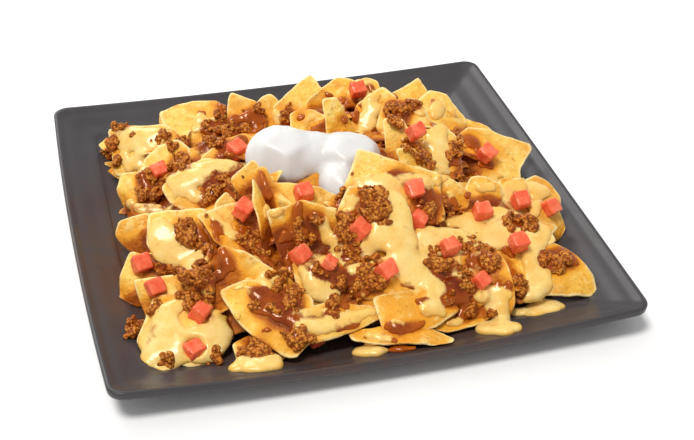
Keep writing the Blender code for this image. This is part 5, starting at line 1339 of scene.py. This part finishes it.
# x, y, z, radius, crumbs
BEEF = [
    (-48, 78, 28, 8.6, 18), (-54, 85, 29, 3.7, 4), (-41, 75, 32, 4.3, 4), (-60, 32, 49, 4.3, 5), (-36, 143, 12, 3.1, 5),
    (-45, 93, 34, 3.1, 3), (-23, 82, 40, 2.5, 3), (-5, 80, 36, 3.1, 4), (-6, 76, 32, 2.5, 3), (-1, 83, 38, 2.5, 2),
    (-33, 72, 32, 3.1, 4), (-118, 83, 26, 4.3, 5), (-118, 103, 6, 4.9, 8), (-117, 71, 21, 2.5, 3), (-110, 88, 34, 3.7, 3),
    (-104, 80, 32, 1.8, 2), (-84, 72, 34, 3.1, 3), (-91, 71, 31, 2.5, 2), (-84, 44, 43, 2.5, 2), (-81, 33, 38, 5.5, 8),
    (-86, 29, 34, 3.1, 3), (-102, 34, 29, 3.1, 4), (-102, 24, 27, 5.5, 9), (-99, 18, 23, 3.7, 4), (-107, 21, 25, 3.1, 4),
    (-97, 28, 27, 3.7, 4), (-65, -4, 46, 5.5, 8), (-70, -10, 41, 4.3, 5), (-61, -4, 46, 3.1, 3), (-74, -13, 37, 3.1, 3),
    (-92, -48, 40, 4.9, 8), (-93, -42, 43, 3.7, 3), (-86, -46, 43, 4.3, 4), (-87, -52, 37, 3.1, 3), (-81, -62, 38, 3.1, 3),
    (-106, -56, 24, 3.7, 4), (-101, -61, 26, 3.1, 3), (-94, -78, 36, 4.3, 5), (-88, -78, 38, 4.3, 5), (-87, -83, 33, 4.9, 6),
    (-98, -78, 35, 2.5, 2), (-61, -58, 39, 3.7, 4), (-54, -55, 39, 3.7, 5), (-57, -64, 37, 4.3, 5), (-53, -70, 35, 2.5, 3),
    (-57, -48, 42, 2.5, 2), (-32, -70, 54, 1.8, 2), (-31, -73, 48, 3.1, 4), (-29, -75, 45, 3.1, 3), (-22, -71, 56, 2.5, 3),
    (-47, -89, 34, 3.1, 3), (-49, -96, 34, 2.5, 2), (-41, -88, 32, 2.5, 2), (-52, -90, 35, 1.8, 2), (-47, -104, 31, 4.9, 6),
    (-52, -112, 28, 4.9, 6), (-46, -112, 28, 4.3, 5), (-47, -109, 30, 3.1, 3), (-40, -104, 32, 2.5, 2), (-65, -107, 29, 2.5, 2),
    (-26, -96, 37, 3.7, 2), (-15, -99, 34, 2.5, 2), (-17, -102, 31, 3.1, 2), (-7, -79, 49, 3.7, 5), (-7, -83, 43, 4.9, 8),
    (-5, -87, 38, 4.9, 8), (-2, -82, 46, 2.5, 2), (-8, -91, 35, 3.1, 3), (-7, -75, 54, 2.5, 2), (10, -68, 63, 4.3, 6),
    (13, -72, 60, 6.1, 12), (14, -77, 56, 4.9, 8), (8, -74, 57, 3.7, 4), (14, -64, 65, 2.5, 2), (43, -66, 51, 3.1, 3),
    (44, -70, 48, 3.1, 3), (57, -62, 46, 2.5, 2), (59, -61, 38, 3.1, 3), (64, -60, 39, 2.5, 2), (-3, -101, 35, 3.1, 4),
    (-4, -104, 31, 3.7, 5), (2, -104, 32, 3.7, 5), (7, -105, 31, 3.1, 3), (0, -97, 37, 3.1, 3), (6, -96, 38, 1.8, 2),
    (-9, -108, 27, 2.5, 2), (-22, -112, 27, 3.1, 4), (-24, -118, 26, 2.5, 3), (56, 42, 48, 3.7, 4), (62, 42, 49, 3.7, 4),
    (69, 46, 50, 3.1, 3), (48, 8, 65, 3.7, 4), (54, 46, 49, 1.8, 2), (72, 46, 50, 3.1, 3), (53, -5, 53, 3.7, 4),
    (51, -22, 60, 3.1, 3), (45, -21, 61, 2.5, 2), (60, -14, 48, 3.7, 3), (59, -22, 48, 2.5, 3), (53, -25, 55, 2.5, 2),
    (82, -6, 46, 3.7, 4), (78, -10, 45, 3.1, 3), (85, -2, 48, 2.5, 2), (82, -25, 34, 3.7, 4), (79, -22, 35, 1.8, 2),
    (93, -70, 35, 3.1, 4), (99, -75, 33, 3.7, 4), (92, -76, 33, 3.1, 3), (105, -73, 33, 2.5, 2), (101, -80, 31, 2.5, 2),
    (105, -78, 31, 1.8, 2), (40, -92, 33, 3.7, 5), (39, -101, 34, 3.7, 4), (44, -102, 32, 3.7, 4), (50, -103, 30, 3.1, 3),
    (46, -104, 28, 2.5, 2), (36, -99, 35, 2.5, 2), (70, -85, 31, 3.1, 3), (74, -90, 29, 3.7, 4), (71, -104, 33, 3.7, 4),
    (68, -102, 32, 2.5, 2), (65, -83, 37, 2.5, 2), (59, -89, 35, 3.1, 2), (43, -111, 27, 3.1, 2), (41, -118, 23, 3.7, 3),
    (54, -112, 27, 3.7, 3), (54, -104, 30, 3.1, 2), (53, -123, 15, 3.1, 2), (66, -125, 12, 2.5, 3), (84, -115, 23, 3.1, 3),
    (85, -116, 17, 2.5, 3), (108, -99, 23, 4.3, 5), (115, -100, 22, 4.3, 5), (120, -100, 21, 2.5, 2), (111, -105, 21, 3.1, 3),
    (104, -101, 22, 1.8, 2), (-47, -127, 21, 3.7, 4), (-47, -130, 19, 3.7, 5), (-51, -127, 21, 2.5, 2), (-43, -131, 19, 2.5, 2),
    (-95, -89, 24, 3.7, 5), (-91, -92, 23, 4.3, 4), (-98, -93, 23, 3.1, 3), (-87, -89, 24, 2.5, 2), (-100, -86, 25, 2.5, 2),
    (-129, -86, 9, 3.7, 5), (-126, -81, 8, 3.1, 3), (-131, -92, 10, 2.5, 3), (-115, -117, 9, 3.7, 5), (-113, -118, 6, 2.5, 2),
    (-117, -116, 9, 1.8, 2), (-89, -119, 9, 2.5, 3), (-90, -117, 11, 2.5, 2), (-89, -123, 7, 1.8, 2), (-68, -122, 15, 3.1, 3),
    (-68, -127, 14, 3.7, 4), (-65, -131, 13, 3.7, 4), (-73, -126, 14, 3.1, 3), (-75, -125, 14, 2.5, 2), (-63, -128, 14, 2.5, 2),
    (-116, -88, 21, 2.5, 2), (-114, -85, 23, 1.8, 2), (7, -137, 9, 2.5, 2),
]

# the sides away from the front get the same toppings, laid by rule
wild = np.random.default_rng(2024)
away = np.where((sample_p[:, 2] > 9) & ~on_plate & (sample_n[:, 2] > 0.2))[0][::6]
away = away[open_to(sample_p[away], sample_n[away], (0.0, 0.3, 1.0))]
away = away[~open_to(sample_p[away], sample_n[away], VIEW, 250.0)]
print("away", len(away))
for k in range(120):
    start = away[wild.integers(len(away))]
    p = sample_p[start]
    fall = np.array([sample_n[start][0], sample_n[start][1], 0.0])
    fall = unit(fall + wild.normal(scale=0.35, size=3) * [1, 1, 0])
    radius = wild.uniform(3.4, 7.6)
    path = [(p[0], p[1], p[2], radius)]
    for _ in range(int(wild.integers(1, 4))):
        near = np.linalg.norm(sample_p[away] - (p + fall * wild.uniform(5, 9) - [0, 0, 2.5]), axis=1)
        p = sample_p[away[int(np.argmin(near))]]
        path.append((p[0], p[1], p[2], radius * wild.uniform(0.6, 1.0)))
    STROKES.append(("c" if k % 5 < 3 else "g", float(wild.uniform(0.8, 1.15)), tuple(path)))
    if k % 4 == 0:
        BEEF.append((*sample_p[start], float(wild.uniform(4.0, 8.0)), int(wild.integers(4, 12))))

# every clump of beef lies in its own gravy
for x, y, z, radius, count in list(BEEF):
    if count >= 3:
        STROKES.append(("g", 0.40 + 0.02 * min(count, 10), ((x, y, z, radius * 1.3 + 0.8),)))

low = np.array([-146.0, -148.0, 3.0])
high = np.array([150.0, 130.0, 80.0])
CELL = 1.0
cheese, thick_cheese, gravy = Field(low, high, CELL), Field(low, high, CELL), Field(low, high, CELL)
laid = []
touched = np.zeros(len(sample_p), bool)
for k, (kind, amount, path) in enumerate(STROKES):
    arr = np.array(path, float)
    if kind.endswith("free"):
        r = np.random.default_rng(3000 + k)
        pts = []
        for a, b in zip(arr, arr[1:]):
            m = max(8, int(np.linalg.norm(b[:3] - a[:3]) * 40))
            t = r.random(m)[:, None]
            d = r.normal(size=(m, 3))
            d /= np.linalg.norm(d, axis=1)[:, None]
            pts.append(a[:3] + t * (b[:3] - a[:3]) + d * (a[3] + (b[3] - a[3]) * t) * r.random((m, 1)) ** (1 / 3) * 0.8)
        pts = np.concatenate(pts)
        (gravy if kind[0] == "g" else cheese).splat(pts, amount * 0.28)
        continue
    lo, hi = (arr[:, :3] - arr[:, 3:4] * 1.3).min(0) - 1, (arr[:, :3] + arr[:, 3:4] * 1.3).max(0) + 1
    cand = samples_in(lo, hi)
    depth = near_stroke(sample_p[cand], path, 0.42, 100 + k)
    hit = depth > 0
    cand, depth = cand[hit], depth[hit]
    touched[cand] = True
    laid.append((kind, amount, cand, depth))
ask = np.where(touched)[0]
seen = np.zeros(len(sample_p), bool)
seen[ask] = open_to(sample_p[ask], sample_n[ask], (-0.10, -0.45, 1.0))
shut = ask[~seen[ask]]
seen[shut] = open_to(sample_p[shut], sample_n[shut], (0, 0, 1.0))
shut = ask[~seen[ask]]
seen[shut] = open_to(sample_p[shut], sample_n[shut], (0.0, 0.5, 1.0))
lump = 0.95 + 0.45 * fbm(sample_p, 9.0, 55)
cheesy = np.zeros(len(sample_p), bool)
for kind, amount, cand, depth in laid:
    ok = seen[cand]
    cand, depth = cand[ok], depth[ok]
    if not len(cand):
        continue
    w = np.clip(depth / 0.18, 0, 1) * lump[cand]
    if kind[0] == "g":
        gravy.splat(sample_p[cand], (amount * 0.86 * w / PER_MM2).astype(np.float32))
    else:
        cheese.splat(sample_p[cand], (amount * 0.62 * w / PER_MM2).astype(np.float32))
        w = np.clip(depth / 0.40, 0, 1) * lump[cand]
        thick_cheese.splat(sample_p[cand], (amount * 0.70 * w / PER_MM2).astype(np.float32))
        cheesy[cand[depth > 0.25]] = True

SIGMA, LEVEL = 1.25, 0.145
# crumbs drowned in the cheese: they swell its surface and show through it
drowned = Field(low, high, CELL)
r = np.random.default_rng(611)
among = np.where(cheesy)[0]
among = among[r.random(len(among)) < np.clip(0.006 + 0.045 * fbm(sample_p[among], 16.0, 71), 0, 0.05)]
drowned.splat(sample_p[among] + sample_n[among] * 1.0, 2.6)
drowned.blur(1.15)
cheese.blur(SIGMA)
cheese.data += drowned.data
gravy.blur(SIGMA)
print("drowned crumbs", len(among))
thick_cheese.blur(2.4)
cheese.data += thick_cheese.data
for x, y, z, _, _, size in DICE:
    # sauce stops at the dice and only laps up their sides
    reach = int(size) + 2
    c = np.round((np.array([x, y, z]) - low) / CELL).astype(int)
    i0, i1 = np.maximum(c - reach, 0), np.minimum(c + reach + 1, cheese.shape)
    g = [low[a] + CELL * np.arange(i0[a], i1[a]) - v for a, v in enumerate((x, y, z + 0.22 * size))]
    gx, gy, gz = np.meshgrid(*g, indexing="ij")
    far = np.sqrt(gx * gx + gy * gy + gz * gz) / size
    hold = np.clip((far - 0.47) / 0.26, 0.05, 1).astype(np.float32)
    for f in (cheese, gravy):
        f.data[i0[0]:i1[0], i0[1]:i1[1], i0[2]:i1[2]] *= hold
whole = Field(low, high, CELL)
whole.data = cheese.data + gravy.data
pts, tris, quads = whole.surface(LEVEL, 0.05, 60)
g_share = gravy.sample(pts) / (gravy.sample(pts) + cheese.sample(pts) + 1e-6)
sauce = Shape()


def depth_below(points):
    """How much sauce lies near a point of its surface: thin edges near 0, pools near 1."""
    wide = Field(low, high, CELL)
    wide.data = whole.data
    wide.blur(2.0)
    return np.clip((wide.sample(points) - 0.05) / 0.20, 0, 1)


sauce.add(pts, [tris, quads], gravy=g_share, thick=depth_below(pts), spot=np.clip(drowned.sample(pts) / 0.10, 0, 1))
sauce_obj = make_mesh("cheese_sauce", sauce, sauce_material())
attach(sauce_obj, "root")
print("sauce", sauce.triangles())

# gravy soaks the chips round it; points that lie deep below the pile's top, and the under chips, are darkened too as
# painted shade
soak = Field(low, high, CELL)
soak.data = gravy.data.copy()
soak.blur(3.2)


def top_map():
    """Height of the pile's top over a 2 mm grid, widened to its neighbours."""
    p = np.concatenate([chips.points(), under.points()])
    nx, ny = 150, 142
    ix = np.clip(((p[:, 0] + 148) / 2).astype(int), 0, nx - 1)
    iy = np.clip(((p[:, 1] + 150) / 2).astype(int), 0, ny - 1)
    top = np.zeros((nx, ny))
    np.maximum.at(top, (ix, iy), p[:, 2])
    for _ in range(3):
        wide = top.copy()
        for dx in (-1, 0, 1):
            for dy in (-1, 0, 1):
                wide = np.maximum(wide, np.roll(np.roll(top, dx, 0), dy, 1))
        top = wide
    for _ in range(2):
        top = sum(np.roll(np.roll(top, dx, 0), dy, 1) for dx in (-1, 0, 1) for dy in (-1, 0, 1)) / 9
    return top


TOP = top_map()
def vertex_normals(shape):
    p = shape.points()
    n = np.zeros_like(p)
    for f in shape.faces:
        cross = np.cross(p[f[:, 1]] - p[f[:, 0]], p[f[:, 2]] - p[f[:, 0]])
        for k in range(f.shape[1]):
            np.add.at(n, f[:, k], cross)
    return n / (np.linalg.norm(n, axis=1, keepdims=True) + 1e-9)


# painted shade for the under chips: a least darkening, stronger towards the front, so the gaps between top chips look
# dark
under_painted_shade = np.concatenate([np.full(len(v), (0.50 if k < 74 else 0.06)) for k, v in enumerate(under.verts)])
under_painted_shade = under_painted_shade * np.clip(1.25 - (under.points()[:, 1] + 30) / 90, 0.25, 1)
for shape, least in ((chips, 0.0), (under, under_painted_shade)):
    p = shape.points()
    ix = np.clip(((p[:, 0] + 148) / 2).astype(int), 0, 149)
    iy = np.clip(((p[:, 1] + 150) / 2).astype(int), 0, 141)
    # painted shade: the further a point lies below the pile's top, the darker it gets
    deep = np.clip((TOP[ix, iy] - p[:, 2] - 6.0) / 9.0, 0, 1)
    soak_and_shade_level = least + 11.0 * soak.sample(p) + 0.75 * deep * (1 if shape is chips else 0.6) + 0.9 * np.clip(fbm(p, 12.0, 61) - 0.22, 0, 1)
    # little runs on to the undersides
    soak_and_shade_level = soak_and_shade_level * np.where(vertex_normals(shape)[:, 2] < -0.1, 0.45, 1.0)
    shape.values["soak_and_painted_shade"] = [np.clip(soak_and_shade_level, 0, 1)]

# ================================================================ beef
brng = np.random.default_rng(77)


def beef_clumps():
    """Crumbs of minced beef fused where they touch, as one pitted surface."""
    cell = 0.86
    field = Field(low, high, cell)
    field.data = np.full(field.shape, -3.0, np.float32)
    rows = []
    for k, (x, y, z, radius, count) in enumerate(BEEF):
        r = np.random.default_rng(4000 + k)
        c = np.array([x, y, z], float)
        radius = radius * 1.28
        box = samples_in(c - radius * 2.3, c + radius * 2.3)
        off = np.linalg.norm(sample_p[box] - c, axis=1)
        cand = box[(off < radius) & (sample_n[box, 2] > 0.1)]
        if not len(cand):
            continue
        for _ in range(int(count * 4.2)):
            pick = cand[r.integers(len(cand))]
            p, n = sample_p[pick], sample_n[pick]
            size = r.uniform(0.8, 1.6) if r.random() < 0.70 else r.uniform(1.6, 2.9)
            far = np.linalg.norm(p - c) / radius
            lift = 0.9 + size * r.uniform(0.1, 0.8) + (r.random() < 0.45) * r.uniform(0.8, 3.0) * (1 - far)
            rows.append((p + n * lift, size, random_turn(r), r.uniform(0.7, 1.3, 3)))
        wide = box[(off < radius * 2.3) & (sample_n[box, 2] > 0.25)]
        for _ in range(int(count * 0.45) if len(wide) else 0):
            pick = wide[r.integers(len(wide))]
            size = r.uniform(0.7, 1.4)
            rows.append((sample_p[pick] + sample_n[pick] * size * 0.6, size, random_turn(r), r.uniform(0.7, 1.3, 3)))
    for at, size, turn, stretch in rows:
        m = turn.T / (size * stretch[:, None])
        reach = size * 1.3 + 1.2
        i0 = np.maximum(0, np.floor((at - reach - field.low) / cell).astype(int))
        i1 = np.minimum(np.array(field.shape), np.ceil((at + reach - field.low) / cell).astype(int) + 1)
        if np.any(i1 <= i0):
            continue
        g = [field.low[a] + cell * np.arange(i0[a], i1[a]) - at[a] for a in range(3)]
        x, y, z = np.meshgrid(*g, indexing="ij")
        q = np.stack([x, y, z], -1) @ m.T
        d = ((1 - np.sqrt((q ** 2).sum(-1))) * size).astype(np.float32)
        part = field.data[i0[0]:i1[0], i0[1]:i1[1], i0[2]:i1[2]]
        h = np.clip(0.5 + (d - part) / 0.9, 0, 1)
        np.copyto(part, np.maximum(part, part * (1 - h) + d * h + 0.45 * h * (1 - h)))
    near = np.where(np.abs(field.data) < 1.8)
    p = np.stack(near, -1) * cell + field.low
    field.data[near] += (0.40 * vnoise(p, 2.0, 5) + 0.42 * vnoise(p, 1.25, 6)).astype(np.float32)
    pts, tris, quads = field.surface(0.0, 0.16, 12)
    print("crumbs", len(rows))
    return pts, tris, quads


def random_turn(r):
    q = r.normal(size=4)
    q /= np.linalg.norm(q)
    w, x, y, z = q
    return np.array([[1 - 2 * (y * y + z * z), 2 * (x * y - z * w), 2 * (x * z + y * w)],
                     [2 * (x * y + z * w), 1 - 2 * (x * x + z * z), 2 * (y * z - x * w)],
                     [2 * (x * z - y * w), 2 * (y * z + x * w), 1 - 2 * (x * x + y * y)]])


pts, tris, quads = beef_clumps()
beef = Shape()
beef.add(pts, [tris, quads], tint=np.clip(1.6 * vnoise(pts, 3.0, 21), -1, 1))
beef_obj = make_mesh("seasoned_beef", beef, beef_material())
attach(beef_obj, "root")
print("beef", beef.triangles())

chips_obj = make_mesh("tortilla_chips", chips, chip_mat)
under_obj = make_mesh("tortilla_chips_under", under, chip_mat)
core_obj = make_mesh("heap_core", core, core_material())
for o in (chips_obj, under_obj, core_obj):
    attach(o, "root")
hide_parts("nacho_heap")
print("chips", chips.triangles(), under.triangles())

# ================================================================ floor, light, camera
floor_mesh = bpy.data.meshes.new("floor")
floor_mesh.from_pydata([(-6, -6, -0.0005), (6, -6, -0.0005), (6, 6, -0.0005), (-6, 6, -0.0005)], [], [(0, 1, 2, 3)])
floor = bpy.data.objects.new("floor", floor_mesh)
bpy.context.scene.collection.objects.link(floor)
fmat, ftree, fbsdf = material("pale_floor")
ftree.links.new(ramp(ftree, noise_tex(ftree, 3, 2), [(0.3, (0.90, 0.90, 0.90)), (0.7, (0.92, 0.92, 0.92))]), fbsdf.inputs["Base Color"])
fbsdf.inputs["Roughness"].default_value = 0.8
floor_mesh.materials.append(fmat)

world = bpy.data.worlds.new("studio")
bpy.context.scene.world = world
world.use_nodes = True
bg = next(n for n in world.node_tree.nodes if n.type == "BACKGROUND")
bg.inputs["Color"].default_value = (1.0, 1.0, 1.0, 1)
bg.inputs["Strength"].default_value = 0.55


def area_light(name, at, aim, size, power, colour=(1, 1, 1)):
    light = bpy.data.lights.new(name, "AREA")
    light.shape, light.size, light.energy, light.color = "SQUARE", size, power, colour
    obj = bpy.data.objects.new(name, light)
    obj.location = at
    obj.rotation_euler = (Vector(aim) - Vector(at)).to_track_quat("-Z", "Y").to_euler()
    bpy.context.scene.collection.objects.link(obj)


sun = bpy.data.lights.new("key", "SUN")
sun.energy, sun.angle, sun.color = 2.18, math.radians(19), (1.0, 0.985, 0.95)
sun_obj = bpy.data.objects.new("key", sun)
sun_obj.rotation_euler = Vector((0.30, 0.22, -1.0)).to_track_quat("-Z", "Y").to_euler()
bpy.context.scene.collection.objects.link(sun_obj)
area_light("soft_box", (-0.35, 1.0, 0.9), (0, 0, 0.03), 0.6, 6.0)

az, el, roll = math.radians(-15.4896), math.radians(34.3050), math.radians(0.8763)
back = Vector((math.sin(az) * math.cos(el), -math.cos(az) * math.cos(el), math.sin(el)))
right = Vector((math.cos(az), math.sin(az), 0.0))
upward = (-back).cross(right) * -1
rolled_right = right * math.cos(roll) + upward * math.sin(roll)
rolled_up = upward * math.cos(roll) - right * math.sin(roll)
cam_data = bpy.data.cameras.new("camera")
cam_data.sensor_fit, cam_data.sensor_width, cam_data.lens = "HORIZONTAL", 36.0, 73.08
cam_data.clip_start, cam_data.clip_end = 0.01, 20.0
camera = bpy.data.objects.new("camera", cam_data)
m = Matrix((rolled_right, rolled_up, back)).transposed().to_4x4()
m.translation = Vector((-0.17791985, -0.69799984, 0.49552132))
camera.matrix_world = m
bpy.context.scene.collection.objects.link(camera)
bpy.context.scene.camera = camera
bpy.context.scene.view_settings.view_transform = "Standard"
